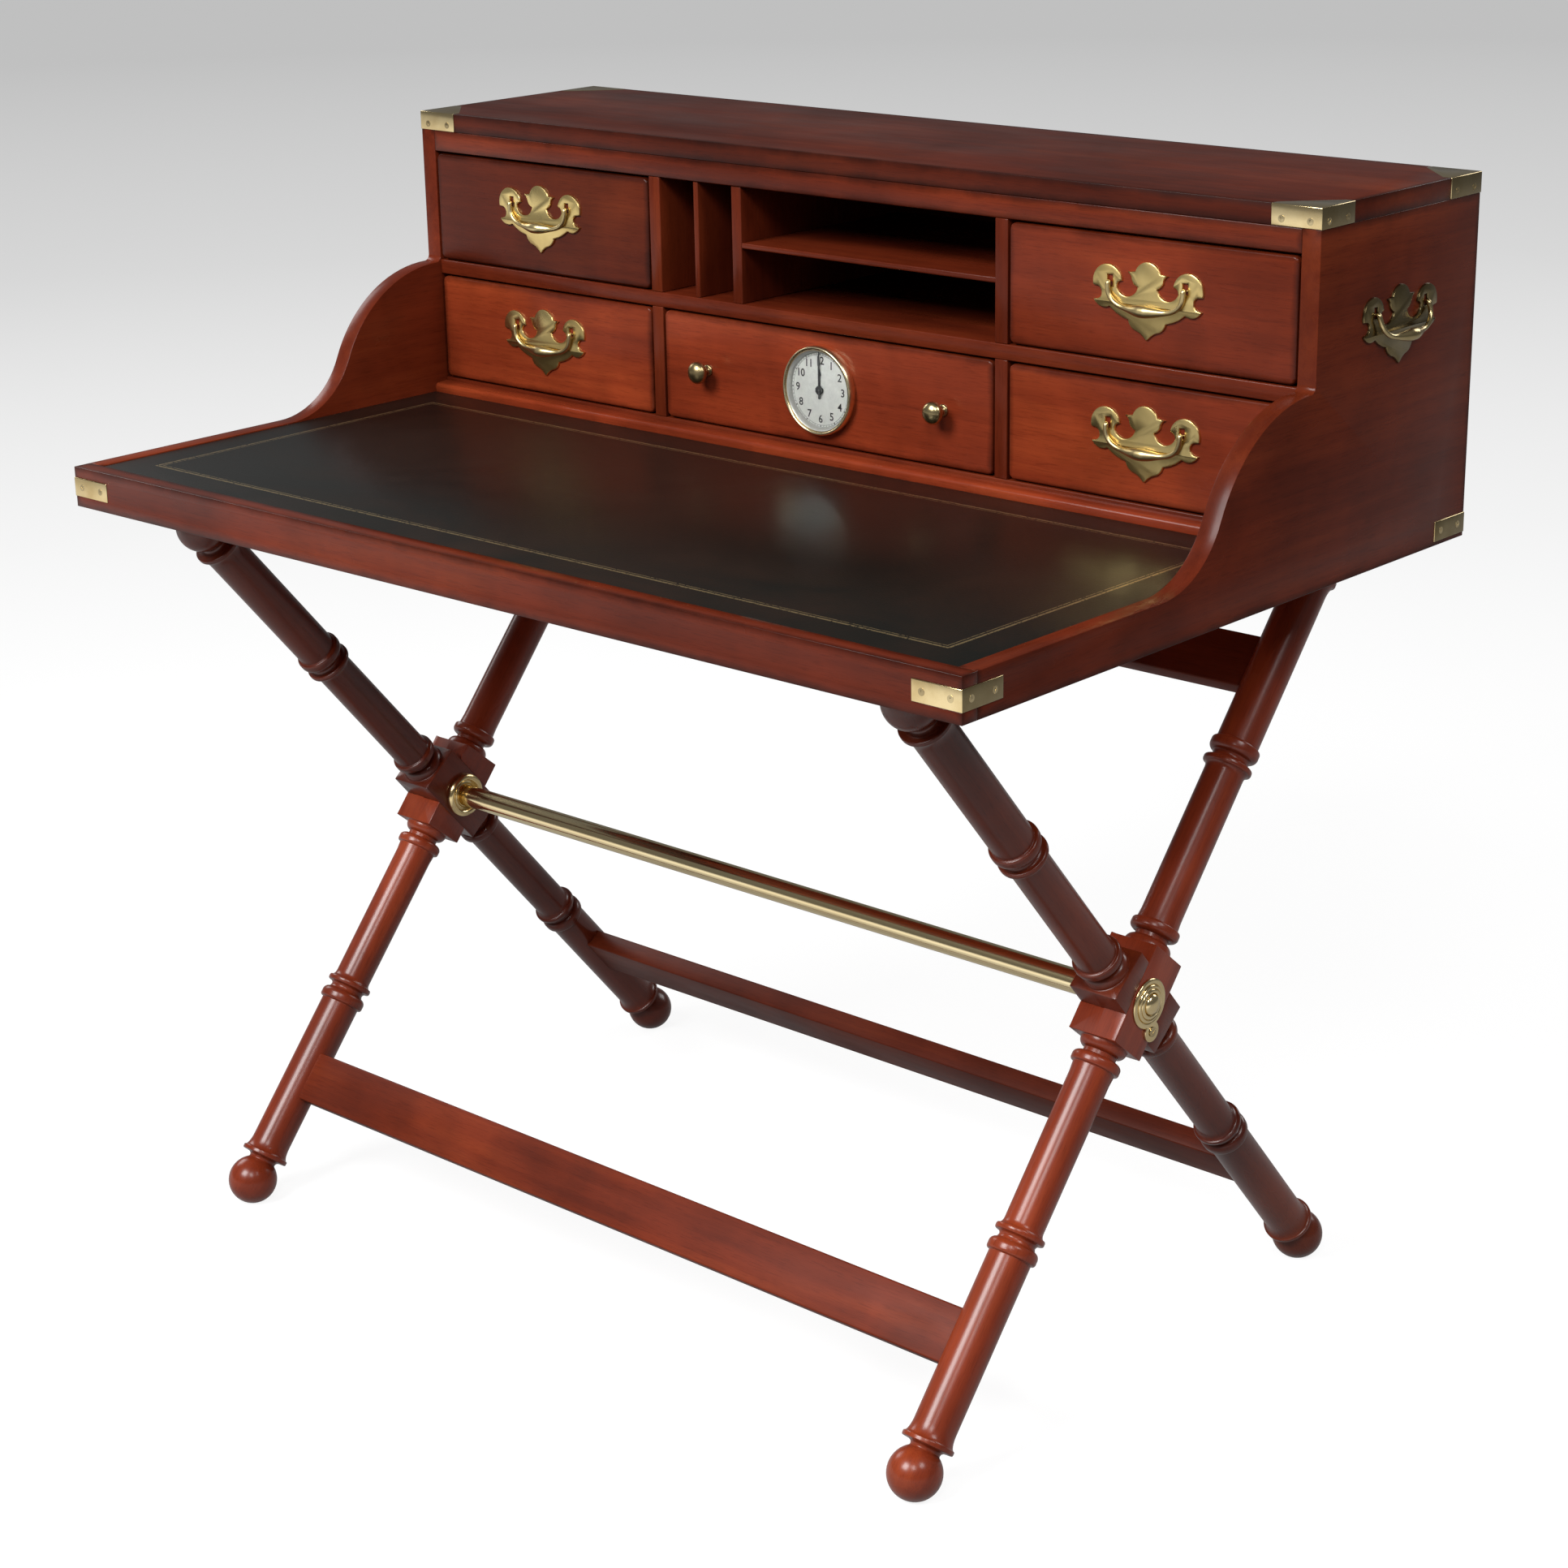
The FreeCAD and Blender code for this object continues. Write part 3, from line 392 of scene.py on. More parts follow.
def facing(way: Vector, spot: Vector, turn: float = 0.0) -> Matrix:
    """A placement that points Z along way, after a turn about it, and moves to a spot."""
    aimed = way.to_track_quat("Z", "Y").to_matrix().to_4x4()
    return Matrix.Translation(spot) @ aimed @ Matrix.Rotation(turn, 4, "Z")


def front_middle(node: str) -> Vector:
    """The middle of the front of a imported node's box."""
    low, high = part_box(node)
    return Vector(((low.x + high.x) / 2, low.y, (low.z + high.z) / 2))


def dress(piece: Piece, material: Material, body: str = "desk",
          stands_for: Sequence[str] = ()) -> None:
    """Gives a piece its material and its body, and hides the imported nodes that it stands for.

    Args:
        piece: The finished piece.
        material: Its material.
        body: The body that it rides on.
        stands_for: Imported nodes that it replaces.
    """
    piece.data.materials.clear()
    piece.data.materials.append(material)
    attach(piece, body)
    if stands_for:
        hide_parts(*stands_for)
    LOG.info("%s rides on %s, %d faces", piece.name, body, len(piece.data.polygons))


def repaint(node: str, material: Material) -> None:
    """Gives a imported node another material."""
    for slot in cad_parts[node].material_slots:
        slot.material = material


# ------------------------------------------------------------------ finishes
class Grain(Enum):
    """The direction that a piece's grain runs in, as the turn that lays it along X."""

    ACROSS = (0.0, 0.0, 0.0)
    DEEP = (0.0, 0.0, math.radians(-90))
    UPRIGHT = (0.0, math.radians(90), 0.0)


class Graph:
    """A material's node tree, built one node at a time."""

    def __init__(self, name: str) -> None:
        """Starts a material with an empty tree.

        Args:
            name: Its name.
        """
        self.material = bpy.data.materials.new(name)
        self.material.use_nodes = True
        self.tree = self.material.node_tree
        self.tree.nodes.clear()

    def node(self, kind: str, inputs: Optional[dict] = None, **fields: object) -> bpy.types.Node:
        """Adds a node.

        Args:
            kind: Its type, without the ShaderNode prefix.
            inputs: Values or output sockets, by input name or index.
            **fields: Its own fields.

        Returns:
            The node.
        """
        made = self.tree.nodes.new("ShaderNode" + kind)
        for field, value in fields.items():
            setattr(made, field, value)
        for key, value in (inputs or {}).items():
            if isinstance(value, Socket):
                self.tree.links.new(value, made.inputs[key])
            else:
                made.inputs[key].default_value = value
        return made

    def ramp(self, factor: Socket, stops: Sequence[tuple[float, Numbers]]) -> Socket:
        """Turns a number into a colour.

        Args:
            factor: The number, 0 to 1.
            stops: (place, linear colour) pairs.

        Returns:
            The colour.
        """
        made = self.node("ValToRGB", {"Fac": factor})
        elements = made.color_ramp.elements
        while len(elements) < len(stops):
            elements.new(0.5)
        for element, (place, colour) in zip(elements, stops):
            element.position = place
            element.color = (*colour, 1.0)
        return made.outputs["Color"]

    def math(self, operation: str, first: Value, second: Value = 0.0) -> Socket:
        """The result of a Math node."""
        return self.node("Math", {0: first, 1: second}, operation=operation).outputs[0]

    def ranged(self, value: Socket, to: Sequence[Value], since: Numbers = (0.0, 1.0)) -> Socket:
        """Carries a number from one range to another, and holds it there."""
        names = ("Value", "From Min", "From Max", "To Min", "To Max")
        return self.node("MapRange", dict(zip(names, (value, *since, *to)))).outputs[0]

    def mix(self, share: Value, first: Socket, second: object, how: str = "MIX") -> Socket:
        """Blends a second colour or number into a first, by its share."""
        inputs = {"Fac": share, "Color1": first, "Color2": second}
        return self.node("MixRGB", inputs, blend_type=how).outputs[0]

    def parts(self, vector: Socket) -> Sequence[Socket]:
        """The X, Y and Z of a vector."""
        return self.node("SeparateXYZ", {0: vector}).outputs

    def squareness(self, axis: int) -> Socket:
        """How squarely the surface looks along an axis, either way, from 0 to 1."""
        return self.math("ABSOLUTE", self.parts(self.node("NewGeometry").outputs["Normal"])[axis])

    def mapped(self, spot: Socket, **change: Numbers) -> Socket:
        """A place after a Location, Rotation or Scale."""
        return self.node("Mapping", {"Vector": spot, **change}).outputs["Vector"]

    def place(self, turn: Numbers = (0.0, 0.0, 0.0)) -> Socket:
        """Object coordinates, turned about the origin."""
        return self.mapped(self.node("TexCoord").outputs["Object"], Rotation=turn)

    def noise(self, spot: Socket, stretch: Numbers, detail: float = 4.0, rough: float = 0.55,
              twist: float = 0.0) -> Socket:
        """Noise over a place.

        Args:
            spot: The place.
            stretch: Cells a metre along each direction.
            detail: Octaves.
            rough: How much the finer octaves tell.
            twist: How far the pattern is pulled about.

        Returns:
            A number about a half.
        """
        inputs = {"Scale": 1.0, "Detail": detail, "Roughness": rough, "Distortion": twist}
        made = self.node("TexNoise", {"Vector": self.mapped(spot, Scale=stretch), **inputs})
        return made.outputs["Fac"]

    def bump(self, height: Socket, strength: float, distance: float) -> Socket:
        """The surface's normal over a relief, whose full height is a distance in metres."""
        inputs = {"Strength": strength, "Distance": distance, "Height": height}
        return self.node("Bump", inputs).outputs[0]

    def shade(self, **inputs: object) -> Material:
        """Ends the tree in a Principled shader.

        Args:
            **inputs: Its inputs, with _ for each space in a name.

        Returns:
            The material.
        """
        spaced = {key.replace("_", " "): value for key, value in inputs.items()}
        shader = self.node("BsdfPrincipled", spaced)
        self.node("OutputMaterial", {"Surface": shader.outputs[0]})
        return self.material


def tinted(colour: Numbers, by: float) -> tuple[float, ...]:
    """A linear colour made lighter or darker."""
    return tuple(min(1.0, channel * by) for channel in colour)


@dataclass(frozen=True)
class Mahogany:
    """Polished mahogany with fine dark pores and slow figure along the grain."""

    name: str
    grain: Grain = Grain.ACROSS
    lean: float = 0.0
    tone: float = 1.0
    light: Colour = (0.262, 0.044, 0.0125)
    middle: Colour = (0.160, 0.0225, 0.0072)
    dark: Colour = (0.078, 0.0105, 0.0042)
    open_pore: Colour = (0.45, 0.40, 0.38)
    edge_tone: float = 0.36
    roughness: float = 0.28
    polish: float = 0.08
    polish_blur: float = 0.12
    board: Optional[str] = None
    stain: float = 0.0032

    FIGURE_CELLS = (2.4, 8.0, 8.0)
    STREAK_CELLS = (4.0, 120.0, 120.0)
    PORE_CELLS = (60.0, 1500.0, 1500.0)
    WEAR_CELLS = (7.0, 24.0, 24.0)
    BLOTCH_CELLS = (9.0, 9.0, 7.0)
    STAIN_CELLS = (26.0, 26.0, 26.0)

    def edges(self, graph: Graph) -> Socket:
        """How clear a board's wood is: darker at its edges, partly stain and partly painted shade of
        the gaps and joints round the board.

        Args:
            graph: The material's tree.

        Returns:
            1 on the faces, down to the edge's tone.
        """
        inwards = []
        for part, low, high in zip(graph.parts(graph.place()), *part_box(self.board)):
            off = graph.math("ABSOLUTE", graph.math("SUBTRACT", part, (low + high) / 2))
            inwards.append(graph.math("ABSOLUTE", graph.math("SUBTRACT", off, (high - low) / 2)))
        first, second, third = inwards
        least, most = graph.math("MINIMUM", first, second), graph.math("MAXIMUM", first, second)
        nearest = graph.math("MAXIMUM", least, graph.math("MINIMUM", most, third))
        rubbed = graph.noise(graph.place(), self.STAIN_CELLS, 5.0, 0.62)
        reach = graph.ranged(rubbed, (0.0, self.stain), (0.35, 0.7))
        inside = graph.math("SUBTRACT", nearest, reach)
        return graph.ranged(inside, (self.edge_tone, 1.0), (-0.0015, 0.0048))

    def material(self) -> Material:
        """Builds the wood's material.

        Returns:
            The material.
        """
        graph = Graph(self.name)
        seed = sum(ord(letter) * (i + 3) for i, letter in enumerate(self.name)) % 97
        spot = graph.mapped(graph.place((-self.lean, 0, 0)), Rotation=self.grain.value)
        spot = graph.mapped(spot, Location=(0.31 * seed, 0.17 * seed, 0.23 * seed))
        figure = graph.noise(spot, self.FIGURE_CELLS, 3.0, 0.5, 0.8)
        streak = graph.noise(spot, self.STREAK_CELLS, 4.0, 0.55, 0.3)
        pore = graph.noise(spot, self.PORE_CELLS, 2.0, 0.6)
        slow, fine = graph.math("MULTIPLY", figure, 0.70), graph.math("MULTIPLY", streak, 0.30)
        blended = graph.math("ADD", slow, fine)
        stops = ((0.24, self.dark), (0.50, self.middle), (0.76, self.light))
        colour = graph.ramp(blended, [(at, tinted(shade, self.tone)) for at, shade in stops])
        pores = graph.ramp(pore, ((0.34, self.open_pore), (0.46, (1.0, 1.0, 1.0))))
        blotch = graph.noise(graph.place(), self.BLOTCH_CELLS, 3.0, 0.55, 0.4)
        blotch = graph.ranged(blotch, (0.74, 1.08), (0.34, 0.64))
        # Darker edges: partly stain, partly painted shade of the gaps round the board.
        if self.board:
            blotch = graph.math("MULTIPLY", blotch, self.edges(graph))
        wear = graph.noise(spot, self.WEAR_CELLS, 3.0, 0.6)
        return graph.shade(
            Base_Color=graph.mix(1.0, graph.mix(0.42, colour, pores, "MULTIPLY"), blotch, "MULTIPLY"),
            Roughness=graph.ranged(wear, (self.roughness - 0.05, self.roughness + 0.09), (0.3, 0.7)),
            Normal=graph.bump(pores, 0.025, 0.0003), Coat_Weight=self.polish,
            Coat_Roughness=self.polish_blur, Coat_IOR=1.5, Specular_IOR_Level=0.14,
        )


@dataclass(frozen=True)
class LiningWood:
    """Plain pale wood of the drawer boxes and the hidden boards."""

    name: str = "lining_wood"
    light: Colour = (0.46, 0.27, 0.13)
    dark: Colour = (0.25, 0.13, 0.06)

    def material(self) -> Material:
        """Builds the lining's material, whose grain runs along each board.

        Returns:
            The material.
        """
        graph = Graph(self.name)
        deep, across = (
            graph.noise(graph.place(grain.value), Mahogany.STREAK_CELLS, 5.0, 0.6, 0.3)
            for grain in (Grain.DEEP, Grain.ACROSS))
        streak = graph.mix(graph.math("GREATER_THAN", graph.squareness(1), 0.7), deep, across)
        colour = graph.ramp(streak, ((0.3, self.dark), (0.65, self.light)))
        return graph.shade(Base_Color=colour, Roughness=0.62, Normal=graph.bump(streak, 0.1, 0.0004))


@dataclass(frozen=True)
class GiltLeather:
    """Dark hide with a fine pebble, brown where it is worn, and gilt lines inside its edges."""

    name: str = "gilt_leather"
    half_width: float = 0.477
    front: float = -0.296
    rear: float = 0.050
    line: float = 0.0026
    inner_line: float = 0.0042
    pebbles: float = 620.0
    ground: Colour = (0.0065, 0.0068, 0.0055)
    worn: Colour = (0.016, 0.0095, 0.0065)
    gilt: Colour = (0.27, 0.20, 0.10)

    FLAKE_CELLS = (420.0, 420.0, 420.0)
    PATCH_CELLS = (5.0, 6.0, 6.0)

    def material(self) -> Material:
        """Builds the leather's material.

        Returns:
            The material.
        """
        graph = Graph(self.name)
        spot = graph.place()
        x, y, _ = graph.parts(spot)
        middle, half_depth = (self.front + self.rear) / 2, (self.rear - self.front) / 2
        off = graph.math("ABSOLUTE", graph.math("SUBTRACT", y, middle))
        across = graph.math("SUBTRACT", graph.math("ABSOLUTE", x), self.half_width)
        outside = graph.math("MAXIMUM", across, graph.math("SUBTRACT", off, half_depth))
        inside = graph.math("ADD", outside, self.inner_line)
        wide = graph.math("LESS_THAN", graph.math("ABSOLUTE", outside), self.line / 2)
        thin = graph.math("LESS_THAN", graph.math("ABSOLUTE", inside), self.line / 5)
        kept = graph.math("GREATER_THAN", graph.noise(spot, self.FLAKE_CELLS, 3.0, 0.6), 0.42)
        gold = graph.math("MULTIPLY", graph.math("MAXIMUM", wide, thin), kept)
        patches = graph.noise(spot, self.PATCH_CELLS, 4.0, 0.6, 0.5)
        hide = graph.ramp(patches, ((0.36, self.ground), (0.66, self.worn)))
        cells = graph.node("TexVoronoi", {"Vector": spot, "Scale": self.pebbles}, feature="F1")
        return graph.shade(
            Base_Color=graph.mix(gold, hide, (*self.gilt, 1.0)),
            Roughness=graph.ranged(patches, (0.30, 0.40), (0.3, 0.7)),
            Normal=graph.bump(cells.outputs["Distance"], 0.16, 0.0003),
            Metallic=graph.math("MULTIPLY", gold, 0.7), Specular_IOR_Level=0.20,
        )


@dataclass(frozen=True)
class Brass:
    """Lacquered brass, brighter where it is rubbed and brown in its tarnish; a copy may darken the
    faces that look along X, as painted shade.
    """

    name: str
    bright: Colour = (0.80, 0.64, 0.35)
    dull: Colour = (0.60, 0.44, 0.20)
    roughness: float = 0.17
    cells: tuple[float, float, float] = (16.0, 16.0, 16.0)
    on_sides: float = 1.0

    FINE_CELLS = (900.0, 900.0, 900.0)

    def material(self) -> Material:
        """Builds the brass's material.

        Returns:
            The material.
        """
        graph = Graph(self.name)
        spot = graph.place()
        patch = graph.noise(spot, self.cells, 4.0, 0.55)
        fine = graph.noise(spot, self.FINE_CELLS, 2.0, 0.5)
        colour = graph.ramp(patch, ((0.34, self.dull), (0.62, self.bright)))
        # Painted shade: faces that look along X are darkened, standing in for the shade on the desk's
        # sides.
        if self.on_sides < 1.0:
            kept = graph.ranged(graph.squareness(0), (1.0, self.on_sides), (0.5, 0.9))
            colour = graph.mix(1.0, colour, kept, "MULTIPLY")
        rough = graph.ranged(patch, (self.roughness + 0.07, self.roughness - 0.03), (0.3, 0.7))
        bump = graph.bump(fine, 0.015, 0.0002)
        return graph.shade(Base_Color=colour, Metallic=1.0, Roughness=rough, Normal=bump)


@dataclass(frozen=True)
class Enamel:
    """Paint, printed metal or steel, with a faint unevenness."""

    name: str
    colour: Colour
    metallic: float = 0.0
    roughness: float = 0.4

    MOTTLE_CELLS = (160.0, 160.0, 160.0)

    def material(self) -> Material:
        """Builds the paint's material.

        Returns:
            The material.
        """
        graph = Graph(self.name)
        mottle = graph.noise(graph.place(), self.MOTTLE_CELLS, 4.0, 0.6)
        colour = graph.ramp(mottle, ((0.3, tinted(self.colour, 0.86)), (0.7, self.colour)))
        rough = graph.ranged(mottle, (self.roughness - 0.06, self.roughness + 0.06))
        return graph.shade(Base_Color=colour, Metallic=self.metallic, Roughness=rough)


@dataclass(frozen=True)
class ClockGlass:
    """Thin clear glass."""

    name: str = "clock_glass_clear"

    HAZE_CELLS = (60.0, 60.0, 60.0)

    def material(self) -> Material:
        """Builds the glass's material.

        Returns:
            The material.
        """
        graph = Graph(self.name)
        haze = graph.noise(graph.place(), self.HAZE_CELLS, 2.0, 0.5)
        return graph.shade(
            Base_Color=(1.0, 1.0, 1.0, 1.0), Transmission_Weight=1.0, IOR=1.12,
            Roughness=graph.ranged(haze, (0.0, 0.05)), Coat_Weight=0.6, Coat_Roughness=0.03,
        )


class Finishes:
    """Every material of the desk, made once and looked up by its name."""

    FRONT_TONES = {
        "upper_left": 0.54, "upper_right": 1.1, "lower_left": 1.25, "lower_centre": 1.35,
        "lower_right": 1.2,
    }
    STRETCHER_TONES = {"lower_front": 1.0, "lower_rear": 0.62, "upper_rear": 0.9}
    LEG_LEANS_AND_TONES = {"front_foot": (-LEG_LEAN, 1.40), "rear_foot": (LEG_LEAN, 0.76)}

    OTHERS = (
        Mahogany("mahogany_top", tone=0.54, roughness=0.34, polish=0.03, board="top_board"),
        Mahogany("mahogany_side_left", Grain.DEEP, tone=0.90, board="side_panel_left"),
        # Right side panel: toned darker than the left one, as painted shade on that outer face.
        Mahogany("mahogany_side_right", Grain.DEEP, tone=0.66, polish=0.03, board="side_panel_right"),
        Mahogany("mahogany_back", tone=0.45),
        Mahogany("mahogany_rail", tone=0.86, board="front_rail"),
        Mahogany("mahogany_frieze", tone=0.9, board="frieze_rail"),
        Mahogany("mahogany_ledge", tone=1.35),
        Mahogany("mahogany_shelves", tone=0.75),
        Mahogany("mahogany_uprights", Grain.UPRIGHT, tone=0.68),
        Mahogany("mahogany_inside", tone=0.5),
        # Writing board's underside: toned much lighter, as painted light under the case that the tube
        # mirrors.
        Mahogany("mahogany_underside", tone=2.4),
        LiningWood(),
        GiltLeather(),
        Brass("brass_polished"),
        # Straps: worn brass, with painted shade on their side faces.
        Brass("brass_straps_worn", cells=(26.0, 26.0, 26.0), on_sides=0.42),
        Brass("brass_bail", (0.68, 0.55, 0.28), (0.50, 0.38, 0.18), 0.33),
        Brass("brass_tube_drawn", (0.90, 0.76, 0.46), (0.78, 0.60, 0.32), 0.13, (3.0, 60.0, 60.0)),
        Brass("brass_aged", (0.88, 0.68, 0.29), (0.68, 0.50, 0.19), 0.29),
        Brass("brass_gilt", (0.94, 0.82, 0.55), (0.84, 0.68, 0.40), 0.22),
        Brass("brass_side_bail", (0.60, 0.48, 0.25), (0.32, 0.24, 0.11), 0.20),
        Brass("brass_knob", (0.52, 0.41, 0.21), (0.34, 0.25, 0.12), 0.26),
        # Side plates: brass painted dark, a painted reflection of the dark surroundings that they
        # mirror.
        Brass("brass_side_dull", (0.30, 0.23, 0.11), (0.13, 0.10, 0.045), 0.20),
        Brass("brass_screw_dark", (0.62, 0.50, 0.28), (0.26, 0.19, 0.09), 0.24),
        Enamel("grey_ring", (0.62, 0.62, 0.58), 0.4, 0.3),
        Enamel("dial_enamel", (0.90, 0.92, 0.86), 0.0, 0.35),
        Enamel("dial_ink", (0.030, 0.029, 0.028), 0.0, 0.5),
        Enamel("hand_black", (0.055, 0.056, 0.056), 0.0, 0.35),
        Enamel("steel_plain", (0.42, 0.42, 0.43), 1.0, 0.35),
        Enamel("movement_case", (0.30, 0.27, 0.20), 0.8, 0.4),
        ClockGlass(),
    )

    def __init__(self) -> None:
        """Makes the materials."""
        kinds = list(self.OTHERS)
        for name, tone in self.FRONT_TONES.items():
            kinds.append(Mahogany("mahogany_front_" + name, tone=tone, board="front_" + name))
        for name, tone in self.STRETCHER_TONES.items():
            kinds.append(Mahogany("mahogany_stretcher_" + name, tone=tone, roughness=0.42, polish=0.0))
        for name, (lean, tone) in self.LEG_LEANS_AND_TONES.items():
            kinds.append(Mahogany(
                "mahogany_leg_" + name, Grain.UPRIGHT, lean, tone, polish=0.55, polish_blur=0.25))
        self.made = {kind.name: kind.material() for kind in kinds}

    def __getitem__(self, name: str) -> Material:
        """The material of that name."""
        return self.made[name]


# ------------------------------------------------------------------ case
def slotted_screw(name: str, radius: float) -> Piece:
    """A screw head at the origin, up Z, with a slot across it.

    Args:
        name: Its name.
        radius: Its radius.

    Returns:
        The head.
    """
    profile = [(-0.0006, 0.0), (-0.0006, radius), (0.0001, radius)]
    profile += quarter((0.0001, radius), (0.0006, 0.0), False, 5)
    head = turned(name, profile, Vector(), Z_AXIS, 20)
    carve(head, block("slot_cutter", (-radius * 1.2, -0.0004, 0.0001), (radius * 1.2, 0.0004, 0.002)))
    return smooth(head)


@dataclass
class Case:
    """The writing case: side panels, boards, rails, straps and leather."""

    edge: float = 0.0009
    strap_edge: float = 0.0007
    leather_edge: float = 0.0006
    front: float = -0.349
    rear: float = 0.349
    top_straps: float = 1.017
    front_straps: float = 0.730
    rear_straps: float = 0.7235
    screw_radius: float = 0.0031
    screw_stand: float = 0.0006
    screw_from_corner: tuple[float, float] = (0.0105, 0.038)

    BOARDS = {
        "side_panel_left": "side_left", "side_panel_right": "side_right", "back_panel": "back",
        "top_board": "top", "front_rail": "rail", "gallery_floor": "shelves",
        "middle_shelf": "shelves", "frieze_rail": "frieze", "gallery_dividers": "uprights",
        "pigeonhole_partitions": "uprights", "letter_shelf": "shelves", "ledge_moulding": "ledge",
        "writing_board": "underside", "case_bearers": "inside",
    }

    def build(self, finishes: Finishes) -> None:
        """Builds the case's pieces and dresses them.

        Args:
            finishes: The desk's materials.
        """
        for node, wood in self.BOARDS.items():
            board = eased(cad_copy(node, "board_" + node), self.edge)
            dress(board, finishes["mahogany_" + wood], stands_for=[node])
        straps = eased(cad_copy("corner_straps", "brass_straps"), self.strap_edge, 3)
        dress(straps, finishes["brass_straps_worn"], stands_for=["corner_straps"])
        leather = eased(cad_copy("leather_writing_surface", "leather_top"), self.leather_edge)
        dress(leather, finishes["gilt_leather"], stands_for=["leather_writing_surface"])
        self.screws(finishes)

    def screws(self, finishes: Finishes) -> None:
        """Sets two slotted screws in each leg of each strap, with their slots at odd angles.

        Args:
            finishes: The desk's materials.
        """
        model = slotted_screw("screw_model", self.screw_radius)
        corners = (
            (GALLERY_FRONT, 1, self.top_straps), (self.rear, -1, self.top_straps),
            (self.front, 1, self.front_straps), (self.rear, -1, self.rear_straps),
        )
        made = []
        for side, _ in SIDES:
            for y, inwards, z in corners:
                for i, reach in enumerate(self.screw_from_corner):
                    turn = math.radians(37 * (i + side) + 50 * y)
                    wide, narrow = CASE_HALF_WIDTH + self.screw_stand, CASE_HALF_WIDTH - reach
                    on_side = Vector((side * wide, y + inwards * reach, z))
                    on_face = Vector((side * narrow, y - inwards * self.screw_stand, z))
                    for spot, way in ((on_side, X_AXIS * side), (on_face, Y_AXIS * -inwards)):
                        made.append(twin(model, "screw", facing(way, spot, turn)))
        bpy.data.objects.remove(model)
        dress(joined("strap_screws", made), finishes["brass_screw_dark"])


# ------------------------------------------------------------------ drawers
@dataclass
class Drawer:
    """One drawer: its front with round corners and its lined box."""

    name: str
    thickness: float = 0.018
    corner: float = 0.006
    nosing: float = 0.0022

    def build(self, finishes: Finishes) -> None:
        """Builds the drawer's front, dresses it and paints its box.

        Args:
            finishes: The desk's materials.
        """
        node = "front_" + self.name
        low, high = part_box(node)
        middle, half = (low + high) / 2, (high - low) / 2
        front = block(
            node + "_shaped", (middle.x - half.x, GALLERY_FRONT, middle.z - half.z),
            (middle.x + half.x, GALLERY_FRONT + self.thickness, middle.z + half.z))
        with editing(front, "EDGE"):
            pick(front, "edges", lambda edge: self.runs_deep(front, edge))
            bpy.ops.mesh.bevel(offset=self.corner, segments=7, affect="EDGES")
        bevel_front(front, self.nosing, 4)
        smooth(front, 40.0)
        dress(front, finishes["mahogany_" + node], "drawer_" + self.name, [node])
        repaint("box_" + self.name, finishes["lining_wood"])

    def runs_deep(self, front: Piece, edge: bpy.types.MeshEdge) -> bool:
        """Whether an edge runs from the face to the back of the front."""
        a, b = (front.data.vertices[i].co for i in edge.vertices)
        return abs(a.y - b.y) > self.thickness / 2


